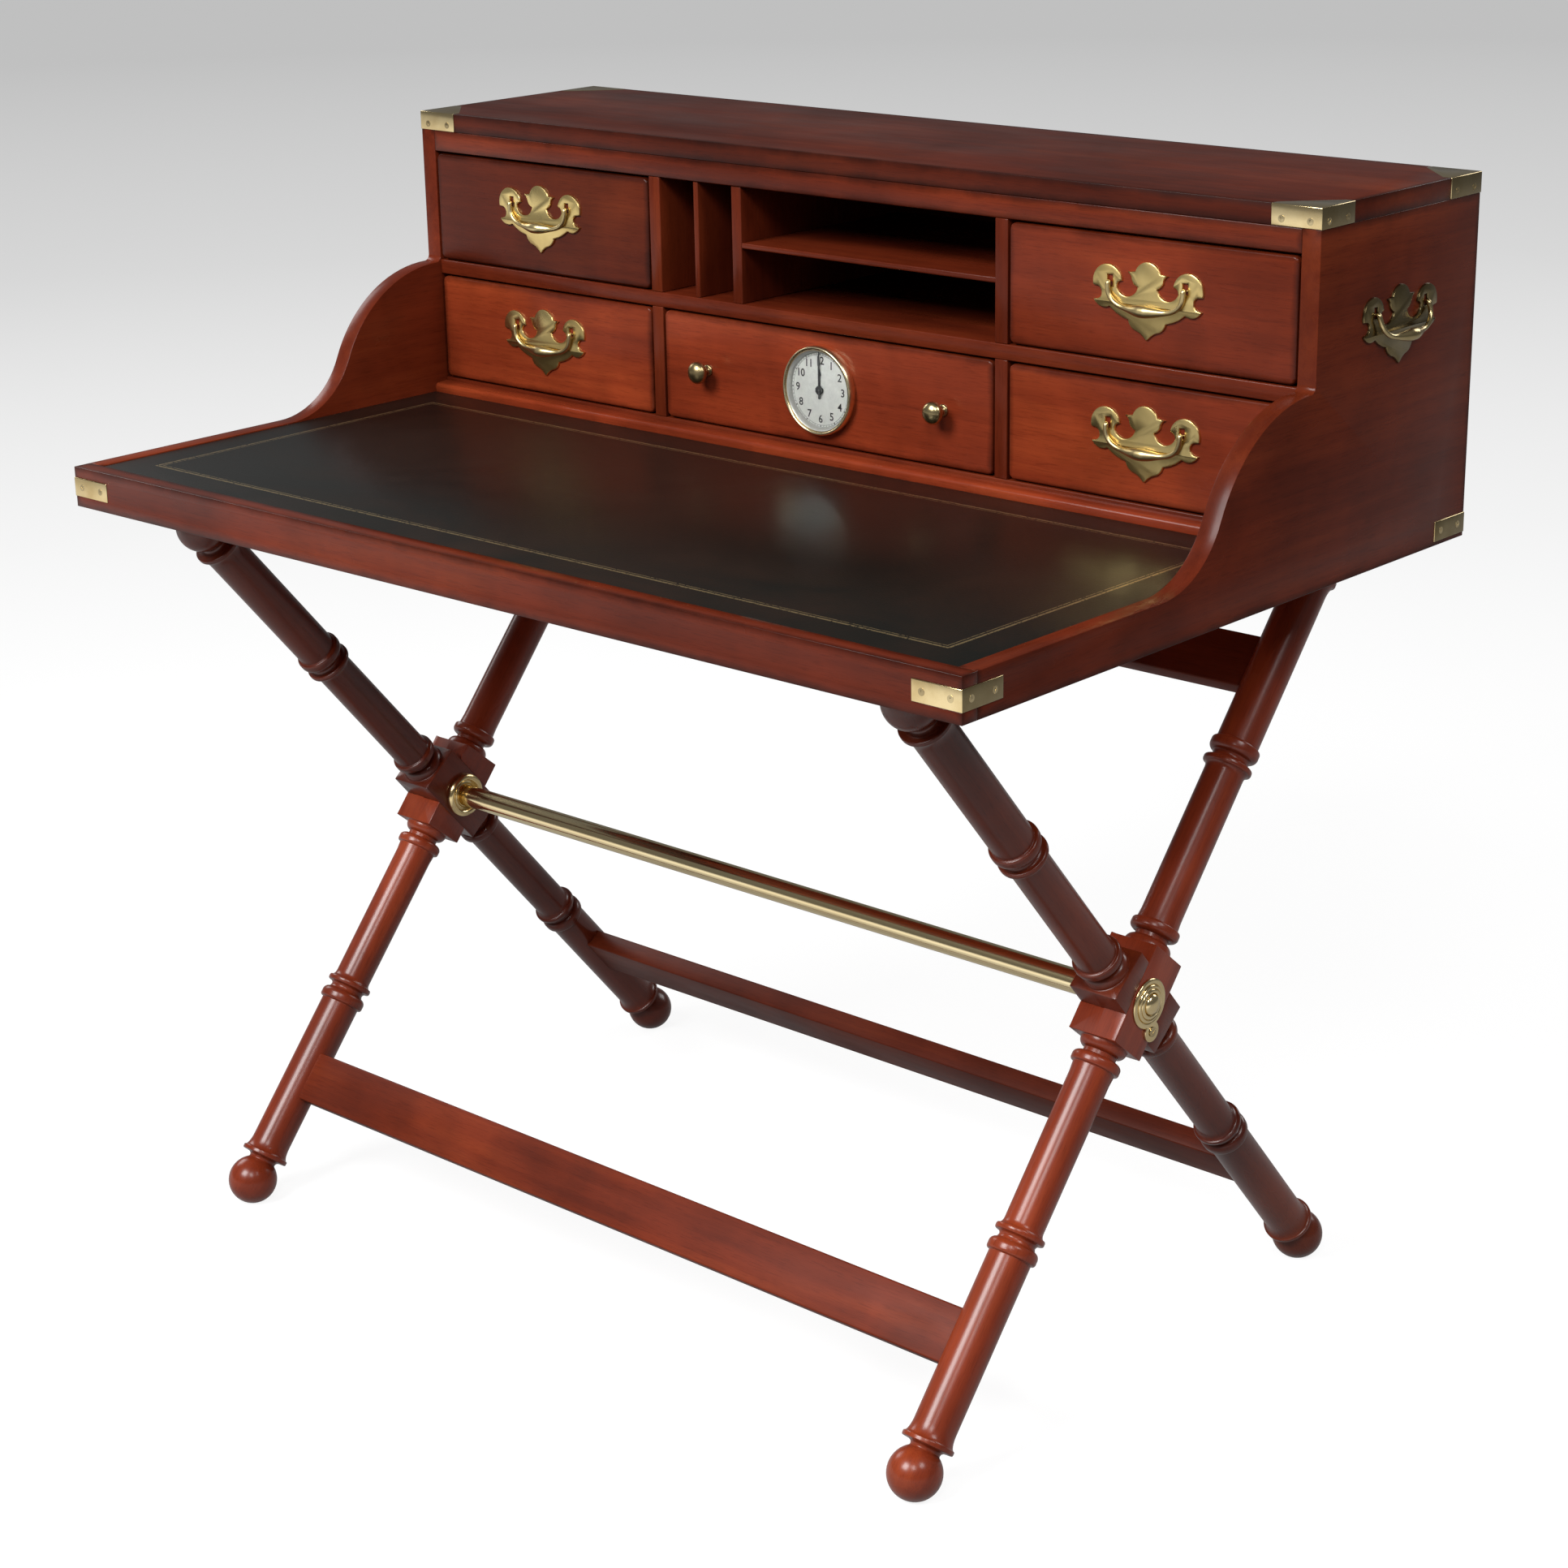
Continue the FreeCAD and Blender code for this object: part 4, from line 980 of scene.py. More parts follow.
# ------------------------------------------------------------------ handles
@dataclass
class Handle:
    """A pierced back plate and its drop bail, modelled on a face at the origin that looks along -Y."""

    thickness: float = 0.0025
    eye: float = 0.0385
    eye_height: float = 0.0136
    slot_half: float = 0.0025
    slot_below: float = 0.0034
    slot_above: float = 0.0057
    arm: float = 0.0022
    grip: float = 0.0049
    gap: float = 0.0004
    bevel: float = 0.0016
    pin_radius: float = 0.0007
    pin_length: float = 0.0045
    side_stand: float = 0.0040
    side_middle: tuple[float, float] = (0.227, 0.9175)

    # Half of the plate, in millimetres from its top: each arc's middle and end, or None and a corner.
    OUTLINE_TOP = (0.0, 33.6)
    OUTLINE = (
        ((9.6, 29.6), (12.9, 24.6)), (None, (21.0, 23.4)), ((18.3, 21.6), (16.6, 19.0)),
        ((14.9, 14.4), (10.0, 11.2)), ((20.6, 2.8), (31.2, 9.0)), ((30.2, 12.9), (26.0, 14.8)),
        ((41.3, 28.2), (56.2, 9.0)), (None, (52.0, 8.4)), ((47.3, 3.2), (52.4, -2.1)),
        (None, (55.8, -2.8)), ((48.4, -8.8), (38.8, -8.0)), ((30.4, -13.6), (19.6, -17.1)),
        ((17.0, -22.2), (12.5, -25.4)), ((6.4, -27.8), (2.6, -31.0)), (None, (0.0, -33.2)),
    )

    def outline(self) -> list[Vector]:
        """Draws the plate's whole outline, in order, as fine chords of its arcs.

        Returns:
            The points.
        """
        spots = [Vector(self.OUTLINE_TOP)]
        for through, end in self.OUTLINE:
            if through is None:
                spots.append(Vector(end))
            else:
                spots += arc_through(spots[-1], Vector(through), Vector(end))
        mirrored = [Vector((-spot.x, spot.y)) for spot in reversed(spots[1:-1])]
        return [Vector((spot.x / 1000, 0, spot.y / 1000)) for spot in spots + mirrored]

    def plate(self, name: str) -> Piece:
        """Cuts the plate from sheet, pierces its two slots and bevels its face.

        Args:
            name: Its name.

        Returns:
            The plate.
        """
        outline = self.outline()
        bpy.ops.mesh.primitive_circle_add(vertices=len(outline), radius=0.05)
        piece = named(name)
        for vertex, spot in zip(piece.data.vertices, outline):
            vertex.co = spot
        with editing(piece, "EDGE"):
            bpy.ops.mesh.edge_face_add()
            bpy.ops.mesh.extrude_region_move(TRANSFORM_OT_translate={"value": FORWARD * self.thickness})
            bpy.ops.mesh.select_all(action="SELECT")
            bpy.ops.mesh.normals_make_consistent(inside=False)
        for side, _ in SIDES:
            x, z = side * self.eye, self.eye_height
            low = (x - self.slot_half, -THROUGH, z - self.slot_below)
            high = (x + self.slot_half, THROUGH, z + self.slot_above)
            carve(piece, block("slot_cutter", low, high))
        bevel_front(piece, self.bevel, 2)
        return smooth(piece, 32.0)

    def route(self) -> list[tuple[float, float, float, float]]:
        """Lays out the bail from end to end.

        Returns:
            For each point, how far it is across, off the face and up, and the rod's radius.
        """
        arm = self.thickness + self.gap + self.arm
        grip = self.thickness + self.gap + self.grip
        eye, top = self.eye, self.eye_height
        half = [
            (eye, self.thickness / 2, top + 0.0002, 0.0010), (eye, self.thickness, top, 0.0016),
            (eye, arm - 0.0003, top - 0.0002, 0.0023), (eye, arm, top - 0.0045, 0.0022),
            (eye - 0.0010, arm, 0.0036, 0.0022),
            (eye - 0.0042, arm, -0.0012, 0.0022), (0.0280, arm, -0.0052, 0.0022),
            (0.0195, arm + 0.0002, -0.0069, 0.0024), (0.0105, grip - 0.0010, -0.0073, 0.0042),
            (0.0038, grip + 0.0003, -0.0073, 0.0052), (0.0, grip + 0.0003, -0.0073, 0.0053),
        ]
        return [(-x, off, z, radius) for x, off, z, radius in half] + half[-2::-1]

    def bail(self, name: str, stand: float) -> Piece:
        """Draws the bail as a rod that swells to its grip.

        Args:
            name: Name of the piece.
            stand: How far its grip is set off from the plate.

        Returns:
            The bail with its two pins.
        """
        route = self.route()
        bpy.ops.curve.primitive_nurbs_path_add(radius=0.01)
        rod = named(name)
        curve = rod.data
        curve.splines.clear()
        spline = curve.splines.new("NURBS")
        spline.points.add(len(route) - 1)
        for point, (x, off, z, radius) in zip(spline.points, route):
            lift = stand * (self.eye_height - z) / self.eye_height
            point.co = (x, -(off + lift), z, 1.0)
            point.radius = radius / self.arm
        spline.order_u = 3
        spline.use_endpoint_u = True
        spline.resolution_u = 12
        curve.bevel_depth = self.arm
        curve.bevel_resolution = 8
        curve.use_fill_caps = True
        take(rod)
        bpy.ops.object.convert(target="MESH")
        parts = [named(name)]
        radius, length = self.pin_radius, self.pin_length
        pin = [(0.0, 0.0), (0.0, radius), (length, radius), (length, 0.0)]
        for side, _ in SIDES:
            foot = Vector((side * self.eye, -self.thickness / 2, self.eye_height))
            parts.append(turned("pin", pin, foot, X_AXIS * side, 12))
        return smooth(joined(name, parts), 50.0)

    def build(self, finishes: Finishes) -> None:
        """Makes a handle for each of four drawers and two for the sides.

        Args:
            finishes: The desk's materials.
        """
        plate, bail = self.plate("plate_model"), self.bail("bail_model", 0.0)
        for name in ("upper_left", "upper_right", "lower_left", "lower_right"):
            spot = Matrix.Translation(front_middle("front_" + name))
            for model, node, brass, body in (
                    (plate, "plate_" + name, "brass_aged", "drawer_" + name),
                    (bail, "bail_" + name, "brass_bail", "bail_" + name)):
                dress(twin(model, "brass_" + node, spot), finishes[brass], body, [node])
        side_bail = self.bail("side_bail_model", self.side_stand)
        plates = []
        for side, name in SIDES:
            middle = Vector((side * CASE_HALF_WIDTH, *self.side_middle))
            spot = Matrix.Translation(middle) @ Matrix.Rotation(math.radians(90 * side), 4, "Z")
            plates.append(twin(plate, "side_plate", spot))
            node = "bail_side_" + name
            hung = twin(side_bail, "brass_" + node, spot)
            dress(hung, finishes["brass_side_bail"], node, [node])
        sides = joined("brass_side_plates", plates)
        dress(sides, finishes["brass_side_dull"], "desk", ["side_handle_plates"])
        for model in (plate, bail, side_bail):
            bpy.data.objects.remove(model)


# ------------------------------------------------------------------ knobs and clock
@dataclass
class Knobs:
    """Two turned pulls on the middle drawer."""

    middle: Vector
    spacing: float = 0.288
    reach: float = 0.0225
    head: float = 0.0125
    radius: float = 0.0106
    collar: float = 0.0056

    def build(self, finishes: Finishes) -> None:
        """Turns one knob, copies it and dresses the pair.

        Args:
            finishes: The desk's materials.
        """
        neck = self.reach - self.head
        profile: Profile = [(0.0, 0.0), (0.0, self.collar), (0.0010, self.collar)]
        profile += quarter((0.0010, self.collar), (0.0022, 0.0042), True, 4)
        profile += quarter((0.0022, 0.0042), (neck - 0.002, 0.0031), False, 4)
        profile += quarter((neck - 0.002, 0.0031), (neck, 0.0052), True, 4)
        profile += quarter((neck, 0.0052), (neck + 0.0055, self.radius), False, 7)
        profile += quarter((neck + 0.0055, self.radius), (self.reach, 0.0), True, 10)
        model = turned("knob_model", profile, Vector(), FORWARD, 40)
        pair = []
        for side, _ in SIDES:
            spot = self.middle + X_AXIS * side * self.spacing / 2
            pair.append(twin(model, "knob", Matrix.Translation(spot)))
        bpy.data.objects.remove(model)
        knobs = joined("brass_knobs", pair)
        dress(knobs, finishes["brass_knob"], "drawer_lower_centre", ["drawer_knobs"])


@dataclass
class Clock:
    """The clock let into the middle drawer: bezel, ring, dial, glass and hands."""

    middle: Vector
    radius: float = 0.0423
    projection: float = 0.0092
    dial: float = 0.0375
    dial_face: float = 0.0023
    numeral_radius: float = 0.0272
    numeral_height: float = 0.0072
    track: float = 0.0335
    track_half: float = 0.0009
    ink: float = 0.00008
    body: str = "drawer_lower_centre"

    CAPITAL_SHARE = 0.70
    REPAINTED = {
        "clock_movement": "movement_case", "hour_hand": "hand_black", "minute_hand": "hand_black",
        "setting_knob": "steel_plain",
    }

    def profiles(self) -> tuple[Profile, Profile, Profile, Profile]:
        """Draws the turned parts.

        Returns:
            The profiles of the rim, of the ring that slopes from it to the dial, of the dial and
            of the domed glass.
        """
        rim, dial, face, outer = self.projection, self.dial, self.dial_face, self.radius
        bezel: Profile = [(0.0, outer - 0.0012), (0.0042, outer - 0.0004)]
        bezel += quarter((0.0042, outer - 0.0004), (rim, outer - 0.0022), True, 7)
        bezel += quarter((rim, outer - 0.0022), (rim - 0.0016, dial + 0.0008), False, 4)
        bezel += [(rim - 0.0016, dial), (0.0, dial), (0.0, outer - 0.0012)]
        cove = [
            (rim - 0.0017, dial + 0.0002), (rim - 0.0021, dial - 0.0004),
            (face + 0.0006, dial - 0.0026), (face, dial - 0.0026), (face, dial + 0.0002),
            (rim - 0.0017, dial + 0.0002),
        ]
        disc = [
            (0.0015, 0.0), (0.0015, dial), (face - 0.0002, dial), (face, dial - 0.0003), (face, 0.0),
        ]
        edge = dial + 0.0004
        dome = [(rim - 0.0042, 0.0), (rim - 0.0042, edge), (rim - 0.0032, edge)]
        dome += quarter((rim - 0.0032, edge), (rim - 0.0006, 0.0), True, 12)
        return bezel, cove, disc, dome

    def build(self, finishes: Finishes) -> None:
        """Builds each part of the clock and dresses it.

        Args:
            finishes: The desk's materials.
        """
        looks = (
            ("clock_bezel_gilt", "brass_gilt", "brass", ["clock_bezel"]),
            ("clock_inner_ring", "grey_ring", "dial", []),
            ("clock_dial_face", "dial_enamel", "dial", ["clock_dial"]),
            ("clock_glass_domed", "clock_glass_clear", "glass", ["clock_glass"]),
        )
        for profile, (name, finish, slot, nodes) in zip(self.profiles(), looks):
            part = turned(name, profile, self.middle, FORWARD, 96)
            dress(part, finishes[finish], self.body, nodes)
        self.print_dial(finishes)
        for node, finish in self.REPAINTED.items():
            repaint(node, finishes[finish])

    def print_dial(self, finishes: Finishes) -> None:
        """Prints the numerals and the minute track on the dial.

        Args:
            finishes: The desk's materials.
        """
        printed = [self.numeral(hour) for hour in range(1, 13)]
        front = self.middle + FORWARD * self.dial_face
        for every, long, wide in ((12, 0.0011, 0.0011), (60, 0.0011, 0.0003)):
            low = front + Vector((-wide / 2, -self.ink, self.track - long / 2))
            high = front + Vector((wide / 2, 0.0, self.track + long / 2))
            tick = block("tick", low, high)
            with editing(tick):
                bpy.ops.mesh.spin(
                    steps=every, angle=2 * math.pi, dupli=True, center=self.middle, axis=Y_AXIS)
                bpy.ops.mesh.select_all(action="SELECT")
                bpy.ops.mesh.remove_doubles(threshold=WELD)
            printed.append(tick)
        low, high = self.dial_face, self.dial_face + self.ink
        for radius in (self.track - self.track_half, self.track + self.track_half):
            inner, outer = radius - 0.00012, radius + 0.00012
            hoop = [(low, inner), (high, inner), (high, outer), (low, outer), (low, inner)]
            printed.append(turned("hoop", hoop, self.middle, FORWARD, 96))
        marks = joined("clock_numerals", printed)
        dress(marks, finishes["dial_ink"], self.body)

    def numeral(self, hour: int) -> Piece:
        """Prints one upright numeral at its place round the dial.

        Args:
            hour: 1 to 12.

        Returns:
            The numeral.
        """
        turn = math.radians(30 * hour)
        spot = self.middle + Vector((math.sin(turn), 0, math.cos(turn))) * self.numeral_radius
        spot += FORWARD * self.dial_face
        bpy.ops.object.text_add(location=spot, rotation=(math.radians(90), 0, 0))
        text = bpy.context.active_object
        text.data.body = str(hour)
        text.data.align_x = "CENTER"
        text.data.align_y = "CENTER"
        text.data.size = self.numeral_height / self.CAPITAL_SHARE
        text.data.extrude = 0.00006
        text.data.offset = 0.00014
        text.data.resolution_u = 3
        take(text)
        bpy.ops.object.convert(target="MESH")
        return settle(named("numeral"))


# ------------------------------------------------------------------ base
@dataclass
class CrossLegs:
    """Four turned legs halved together in pairs, with their stretchers and brassware."""

    leg_x: float = 0.431
    cross_z: float = 0.358
    underside: float = 0.711
    block: float = 0.0485
    shoulder: float = 0.0455
    ovolo: float = 0.0085
    ovolo_radius: float = 0.0215
    neck: float = 0.015
    collar: float = 0.0222
    column: float = 0.0177
    foot_column: float = 0.0192
    bead: float = 0.0225
    waist: float = 0.0166
    throat: float = 0.0136
    beads_at: tuple[float, float] = (0.22375, 0.24025)
    flare: float = 0.0234
    ball: float = 0.024
    ball_steps: int = 22
    cutter_reach: float = 0.08
    leg_edge: float = 0.0006
    board_edge: float = 0.0016
    board_half: tuple[float, float] = (0.010, 0.025)
    let_in: float = 0.006
    tube: float = 0.011
    cover: float = 0.0225
    cover_fit: float = 0.0003
    tab: float = 0.0095
    tab_drop: float = 0.027
    tab_turn: float = math.radians(7)
    screw_seat: float = 0.0023
    screw_radius: float = 0.0045

    # Each board's name, the way that it leans, and its place along the leg from the cross.
    STRETCHERS = (("lower_front", -1, -0.325), ("lower_rear", 1, -0.308), ("upper_rear", -1, 0.320))

    @property
    def half(self) -> float:
        """Length of a leg from the cross to the middle of its ball."""
        return math.hypot(FOOT_Y, HALF_RISE)

    def half_profile(self) -> Profile:
        """Draws one half of a leg, from the cross to the end of its ball.

        Returns:
            Its profile.
        """
        # Block, ovolo, neck and collar.
        wide = self.block * 0.75  # past the block's corners, which are cut square later
        neck_end = self.shoulder + self.ovolo
        points: Profile = [(0.0, wide), (self.shoulder, wide), (self.shoulder, self.ovolo_radius)]
        points += quarter(points[-1], (neck_end, self.neck), True, 8)
        lip = neck_end + 0.0035
        points += quarter((lip, self.neck), (neck_end + 0.0045, self.neck + 0.001), True, 3)
        collar = neck_end + 0.0040
        points += quarter((collar, 0.0160), (collar + 0.0050, self.collar), False, 7)
        points += quarter((collar + 0.0078, self.collar), (collar + 0.0104, 0.0204), True, 5)
        points += [(collar + 0.0107, 0.0190), (collar + 0.0200, self.column + 0.0006)]
        # Column, and the two beads with their waist.
        first, second = self.beads_at
        points.append((first - 0.0080, self.column + 0.0003))
        points += quarter(points[-1], (first - 0.0022, self.bead - 0.0010), True, 6)
        points += quarter(points[-1], (first - 0.0002, self.bead), False, 4)
        points += quarter((first + 0.0012, self.bead), (first + 0.0032, 0.0204), True, 5)
        points += quarter(points[-1], (first + 0.0068, self.waist), False, 6)
        points += quarter((second - 0.0072, self.waist), (second - 0.0012, self.bead), False, 9)
        points += quarter((second + 0.0018, self.bead), (second + 0.0048, 0.0206), True, 6)
        # Foot column, flare and throat.
        neck = self.half - self.ball + 0.002
        flare = neck - 0.0070
        points += [(second + 0.0052, self.foot_column), (flare - 0.0130, self.foot_column)]
        points += quarter(points[-1], (flare, self.flare - 0.0006), True, 8)
        points += quarter(points[-1], (flare + 0.0012, self.flare), False, 3)
        points += quarter((flare + 0.0030, self.flare), (flare + 0.0044, self.flare - 0.0014), True, 4)
        points += quarter(points[-1], (neck - 0.0022, 0.0178), False, 5)
        points += quarter(points[-1], (neck + 0.0010, self.throat), False, 5)
        # Ball.
        opening = math.asin(self.throat / self.ball)
        for i in range(self.ball_steps):
            turn = math.pi - opening - (math.pi - opening) * i / self.ball_steps
            points.append((self.half + self.ball * math.cos(turn), self.ball * math.sin(turn)))
        return points + [(self.half + self.ball, 0.0)]

    def whole_leg(self) -> Piece:
        """Turns a whole leg along Z with its middle at the origin, and squares its block.

        Returns:
            The leg.
        """
        half = self.half_profile()
        outline = [(-along, radius) for along, radius in reversed(half)] + half[1:]
        leg = turned("leg_model", outline, Vector(), Z_AXIS, 64)
        reach, slab, end = self.cutter_reach, self.block / 2, self.shoulder + self.ovolo
        frame_cutter = block("round_cutter", (-reach, -reach, -end), (reach, reach, end))
        carve(frame_cutter, block("square_cutter", (-slab, -slab, -reach), (slab, slab, reach)))
        carve(leg, frame_cutter)
        return leg

    def build(self, finishes: Finishes) -> None:
        """Builds the legs and all that joins them.

        Args:
            finishes: The desk's materials.
        """
        model = self.whole_leg()
        slab = self.block / 2
        for side, side_name in SIDES:
            for way, name, lap in ((-LEG_LEAN, "front_foot", -side), (LEG_LEAN, "rear_foot", side)):
                leg = twin(model, "turned_leg", Matrix.Rotation(way, 4, "X"))
                low = (min(0, lap * slab * 1.2), -slab, -slab * 2)
                high = (max(0, lap * slab * 1.2), slab, slab * 2)
                half_lap = block("lap_cutter", low, high)
                half_lap.matrix_world = Matrix.Rotation(-way, 4, "X")
                carve(leg, settle(half_lap))
                leg.matrix_world = Matrix.Translation(Vector((side * self.leg_x, 0, self.cross_z)))
                settle(leg)
                carve(leg, block("height_cutter", *self.room()), "INTERSECT")
                node = "leg_" + side_name + "_" + name
                leg = eased(leg, self.leg_edge, 2, 50.0)
                leg.name = "turned_" + node
                dress(leg, finishes["mahogany_leg_" + name], "desk", [node])
        bpy.data.objects.remove(model)
        self.stretchers(finishes)
        self.brassware(finishes)
        self.covers(finishes)
        repaint("frame_bolts", finishes["steel_plain"])
        repaint("leg_top_dowels", finishes["lining_wood"])

    def room(self) -> tuple[Numbers, Numbers]:
        """The corners of the space between the floor and the underside of the case."""
        return (-1.0, -0.6, 0.0), (1.0, 0.6, self.underside)

    def stretchers(self, finishes: Finishes) -> None:
        """Builds three flat boards between the two ends, let into the turned legs.

        Args:
            finishes: The desk's materials.
        """
        end, (thin, wide) = self.leg_x - self.let_in, self.board_half
        for name, way, at in self.STRETCHERS:
            node = "stretcher_" + name
            board = block("board_" + node, (-end, -thin, at - wide), (end, thin, at + wide))
            eased(board, self.board_edge, 3)
            turn = Matrix.Rotation(way * LEG_LEAN, 4, "X")
            board.matrix_world = Matrix.Translation((0, 0, self.cross_z)) @ turn
            dress(settle(board), finishes["mahogany_" + node], "desk", [node])

    def brassware(self, finishes: Finishes) -> None:
        """Builds the tube and its flanges.

        Args:
            finishes: The desk's materials.
        """
        inner = self.leg_x - self.block / 2
        foot = Vector((-inner, 0, self.cross_z))
        profile: Profile = [(0.0, 0.0), (0.0, self.tube), (2 * inner, self.tube), (2 * inner, 0.0)]
        tube = turned("brass_tube", profile, foot, X_AXIS, 64)
        dress(tube, finishes["brass_tube_drawn"], "desk", ["cross_tube"])
        flanges = []
        for side, _ in SIDES:
            seat = Vector((side * inner, 0, self.cross_z))
            flanges.append(turned("flange", self.flange_profile(), seat, X_AXIS * -side, 56))
        pair = joined("brass_flanges", flanges)
        dress(pair, finishes["brass_polished"], "desk", ["tube_flanges"])

    def covers(self, finishes: Finishes) -> None:
        """Builds the swivelling bolt covers, each with a tab and its screw.

        Args:
            finishes: The desk's materials.
        """
        outer = self.leg_x + self.block / 2 + self.cover_fit
        drop = Vector((0, math.sin(self.tab_turn), -math.cos(self.tab_turn))) * self.tab_drop
        tab_profile: Profile = [(0.0, 0.0), (0.0, self.tab), (0.0014, self.tab)]
        tab_profile += quarter(tab_profile[-1], (0.0020, self.tab - 0.0006), True, 3)
        tab_profile.append((0.0020, 0.0))
        heads = []
        for side, name in SIDES:
            middle = Vector((side * outer, 0, self.cross_z))
            out = X_AXIS * side
            cover = turned("cover", self.cover_profile(), middle, out, 56)
            tab = turned("tab", tab_profile, middle + drop, out, 40)
            body = "bolt_cover_" + name
            whole = joined("brass_" + body, [cover, tab])
            dress(whole, finishes["brass_polished"], body, [body])
            head = slotted_screw("cover_screw", self.screw_radius)
            seat = middle + drop + out * self.screw_seat + out * 0.0006
            head.matrix_world = facing(out, seat, math.radians(30))
            heads.append(settle(head))
        screws = joined("brass_cover_screws", heads)
        dress(screws, finishes["brass_screw_dark"], "desk", ["bolt_cover_screws"])

    def flange_profile(self) -> Profile:
        """Draws a rounded ring with a dished face that meets the tube.

        Returns:
            Its profile.
        """
        points: Profile = [(0.0, self.tube), (0.0, 0.0212)]
        for end, along_first, steps in (
                ((0.0040, 0.0225), False, 5), ((0.0080, 0.0186), True, 8), ((0.0034, 0.0150), False, 8),
                ((0.0050, 0.0116), False, 6)):
            points += quarter(points[-1], end, along_first, steps)
        return points + [(0.0050, self.tube), (0.0, self.tube)]

    def cover_profile(self) -> Profile:
        """Draws three raised rings that step up to a dome.

        Returns:
            Its profile.
        """
        edge = self.cover
        points: Profile = [(0.0, 0.0), (0.0, edge - 0.0003), (0.0006, edge)]
        for height, valley, outer, inner in (
                (0.0022, 0.0011, edge, edge - 0.0052), (0.0034, 0.0022, edge - 0.0056, edge - 0.0086),
                (0.0042, 0.0020, edge - 0.0090, edge - 0.0128)):
            crest = outer - (outer - inner) * 0.5
            points += quarter(points[-1], (height, crest), True, 6)
            points += quarter(points[-1], (valley, inner), False, 6)
        points.append((0.0030, 0.0094))
        return points + quarter(points[-1], (0.0085, 0.0), True, 12)


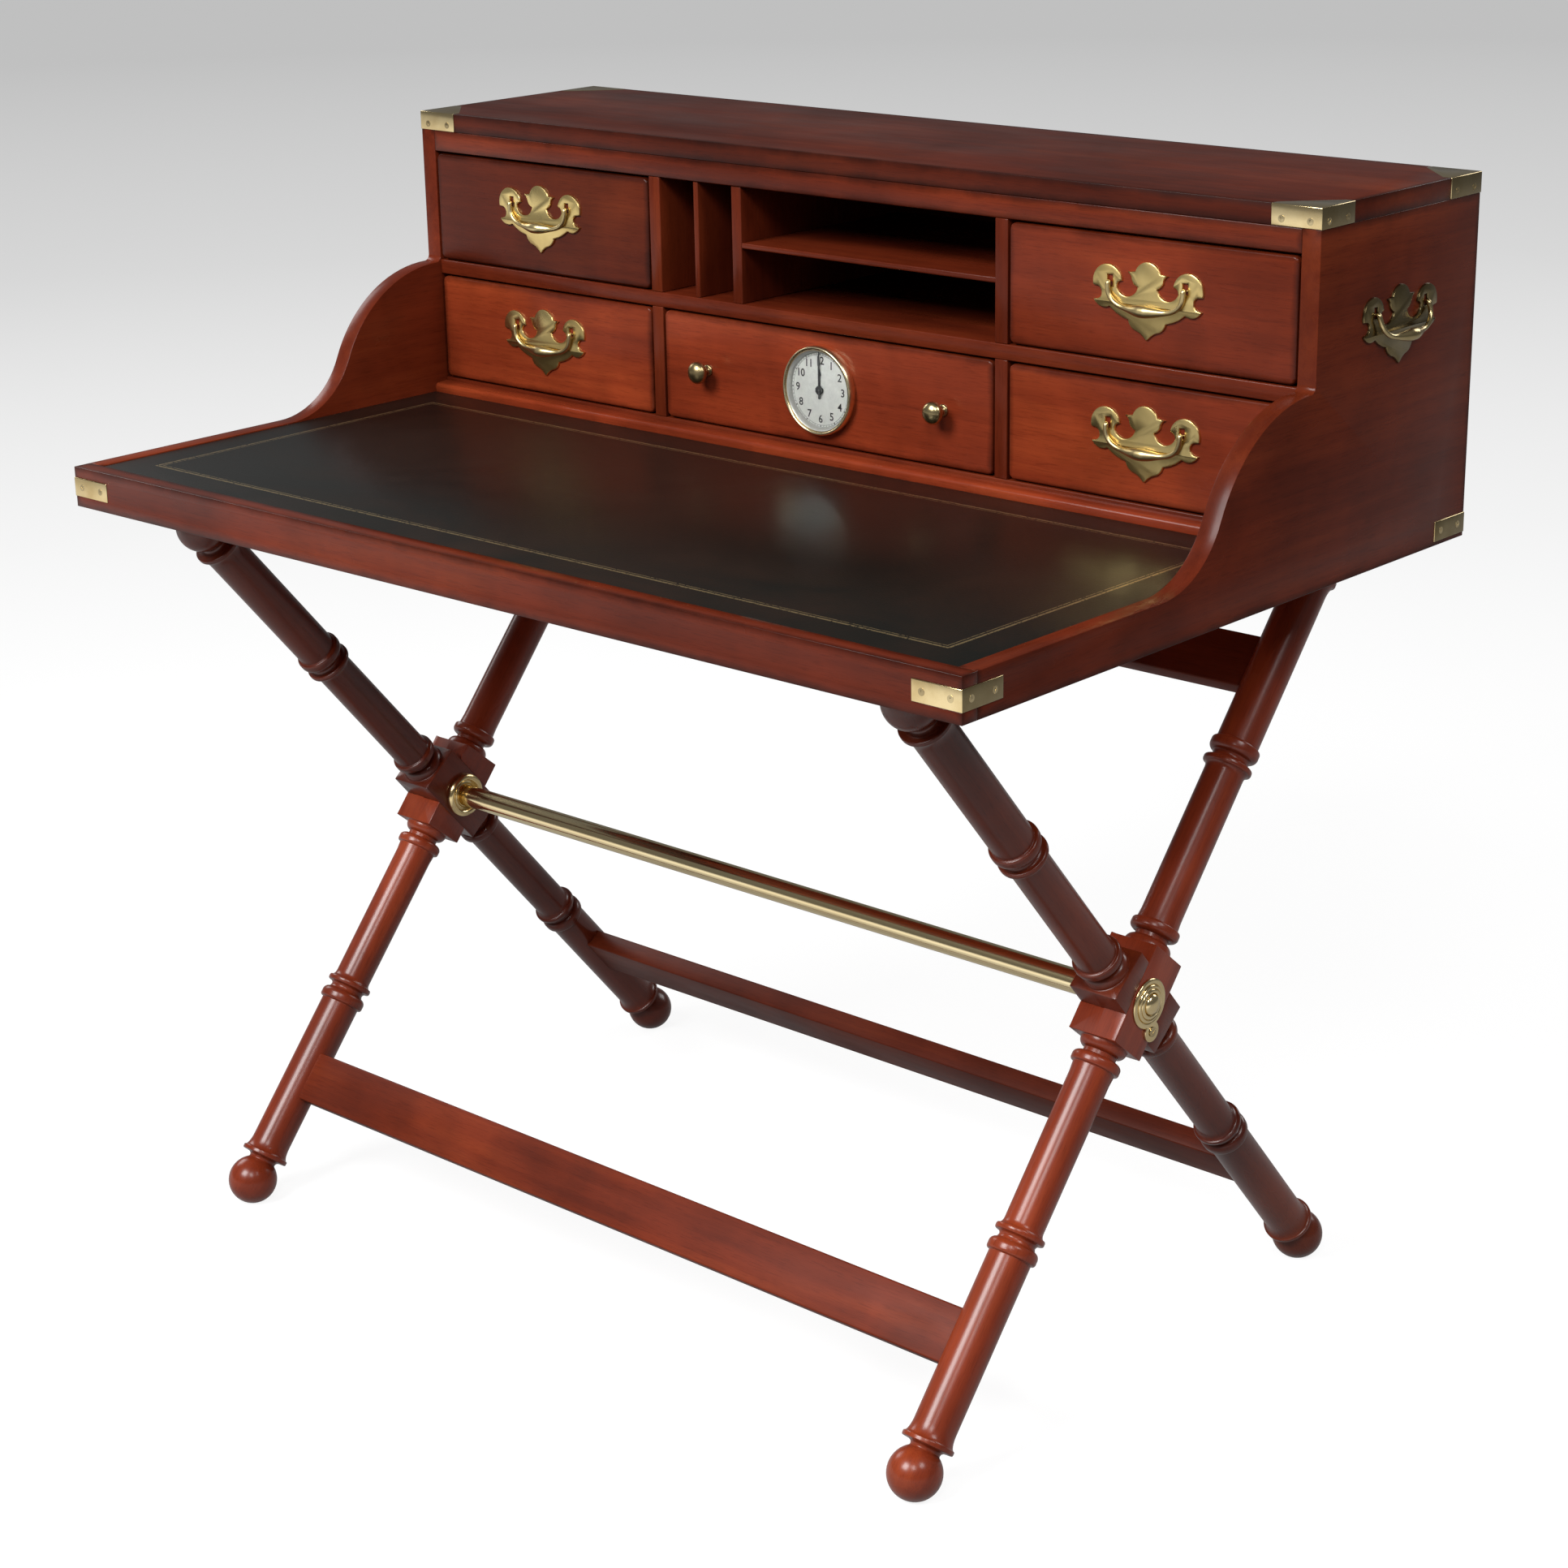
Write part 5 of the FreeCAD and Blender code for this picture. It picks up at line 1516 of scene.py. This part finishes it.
# ------------------------------------------------------------------ studio
@dataclass
class Studio:
    """Camera, lamps, floor and surroundings."""

    image: float = 1932.0
    focal: float = 3970.155
    sensor: float = 36.0
    eye: tuple[float, float, float] = (1.93806, -2.08523, 1.43762)
    azimuth: float = 42.327
    elevation: float = 19.012
    roll: float = -1.0687
    floor_reach: float = 40.0
    floor_fade: float = 12.0
    plain_grey: float = 0.3
    seen_grey: float = 0.18
    surround: float = 0.20
    mirrored_surround: float = 0.14
    seen_surround: float = 0.48

    # Name, place, size and power of each lamp.
    LAMPS = (
        ("key", (-0.6, -3.7, 3.75), 2.0, 240.0), ("front", (2.15, -3.0, 3.9), 1.2, 62.0),
        ("right", (3.2, -0.3, 3.7), 1.2, 50.0), ("left", (-4.4, 0.3, 2.6), 1.8, 40.0),
        ("back", (1.0, 4.6, 3.0), 2.0, 55.0),
    )
    LAMPS_AIM_AT = Vector((0, 0, 0.6))
    # The floor's paleness at shares of the distance over which it fades.
    FLOOR_SHADES = ((0.11, 1.0), (0.14, 0.973), (0.2525, 0.855), (0.48, 0.694), (0.9, 0.552))

    def build(self) -> None:
        """Sets up the camera, the floor, the world and the lamps."""
        scene = bpy.context.scene
        scene.view_settings.view_transform = "Standard"
        self.camera(scene)
        self.floor()
        self.world(scene)
        for name, spot, size, power in self.LAMPS:
            self.lamp(name, Vector(spot), size, power)

    def camera(self, scene: bpy.types.Scene) -> None:
        """Places the camera.

        Args:
            scene: The scene that it films.
        """
        az, el, roll = (math.radians(angle) for angle in (self.azimuth, self.elevation, self.roll))
        ahead = Vector((-math.sin(az) * math.cos(el), math.cos(az) * math.cos(el), -math.sin(el)))
        right = ahead.cross(Z_AXIS).normalized()
        up = right.cross(ahead)
        turned_right = right * math.cos(roll) + up * math.sin(roll)
        turned_up = up * math.cos(roll) - right * math.sin(roll)
        bpy.ops.object.camera_add()
        camera = bpy.context.active_object
        camera.name = "camera"
        matrix = Matrix((turned_right, turned_up, -ahead)).transposed().to_4x4()
        camera.matrix_world = Matrix.Translation(self.eye) @ matrix
        camera.data.sensor_width = self.sensor
        camera.data.lens = self.sensor * self.focal / self.image
        camera.data.clip_end = 200.0
        scene.camera = camera

    def floor(self) -> None:
        """Lays a wide pale floor whose colour falls off towards grey far away."""
        bpy.ops.mesh.primitive_plane_add(size=2 * self.floor_reach)
        floor = named("studio_floor")
        graph = Graph("studio_floor_paint")
        x, y, _ = graph.parts(graph.place())
        flat = graph.node("CombineXYZ", {0: x, 1: y}).outputs[0]
        far = graph.node("VectorMath", {0: flat}, operation="LENGTH").outputs["Value"]
        share = graph.math("DIVIDE", far, self.floor_fade)
        shade = graph.ramp(share, [(place, (value,) * 3) for place, value in self.FLOOR_SHADES])
        paths = graph.node("LightPath").outputs
        seen = graph.math("MAXIMUM", paths["Is Camera Ray"], paths["Is Glossy Ray"])
        seen = graph.math("MAXIMUM", seen, paths["Is Transmission Ray"])
        mirrored = graph.ranged(y, (0.22, 0.88), (-0.25, -1.1))
        right = graph.ranged(x, (0.88, 0.40), (1.6, 3.8))
        strength = graph.ranged(paths["Is Glossy Ray"], (right, mirrored))
        glow = graph.node("Emission", {"Color": shade, "Strength": strength}).outputs[0]
        plain, dim = (
            graph.node("BsdfDiffuse", {"Color": (grey, grey, grey, 1.0)}).outputs[0]
            for grey in (self.plain_grey, self.seen_grey))
        both = graph.node("AddShader", {0: glow, 1: dim}).outputs[0]
        mixed = graph.node("MixShader", {0: seen, 1: plain, 2: both}).outputs[0]
        graph.node("OutputMaterial", {"Surface": mixed})
        floor.data.materials.append(graph.material)

    def world(self, scene: bpy.types.Scene) -> None:
        """Gives the scene a pale even surround.

        Args:
            scene: The scene.
        """
        world = bpy.data.worlds.new("studio_air")
        world.use_nodes = True
        scene.world = world
        tree = world.node_tree
        background = tree.nodes["Background"]
        background.inputs["Color"].default_value = (1.0, 1.0, 1.0, 1.0)
        paths = tree.nodes.new("ShaderNodeLightPath")
        mirrored, seen = (tree.nodes.new("ShaderNodeMapRange") for _ in range(2))
        mirrored.inputs["To Min"].default_value = self.surround
        mirrored.inputs["To Max"].default_value = self.mirrored_surround
        seen.inputs["To Max"].default_value = self.seen_surround
        for start, end in (
                (paths.outputs["Is Glossy Ray"], mirrored.inputs["Value"]),
                (paths.outputs["Is Camera Ray"], seen.inputs["Value"]),
                (mirrored.outputs[0], seen.inputs["To Min"]),
                (seen.outputs[0], background.inputs["Strength"])):
            tree.links.new(start, end)

    def lamp(self, name: str, spot: Vector, size: float, power: float) -> None:
        """Hangs a soft flat lamp aimed at the middle of the desk.

        Args:
            name: Its name.
            spot: Its place.
            size: Length of its sides.
            power: Its power in watts.
        """
        bpy.ops.object.light_add(type="AREA", location=spot)
        lamp = bpy.context.active_object
        lamp.name = "lamp_" + name
        lamp.data.shape = "RECTANGLE"
        lamp.data.size = lamp.data.size_y = size
        lamp.data.energy = power
        lamp.rotation_euler = (self.LAMPS_AIM_AT - spot).to_track_quat("-Z", "Y").to_euler()


def main() -> None:
    """Builds the desk piece by piece, then the studio."""
    logging.basicConfig(level=logging.INFO, format="%(name)s: %(message)s")
    finishes = Finishes()
    Case().build(finishes)
    for name in finishes.FRONT_TONES:
        Drawer(name).build(finishes)
    Handle().build(finishes)
    middle = front_middle("front_lower_centre")
    Knobs(middle).build(finishes)
    Clock(middle).build(finishes)
    CrossLegs().build(finishes)
    Studio().build()
    rest()


if __name__ == "__main__":
    main()
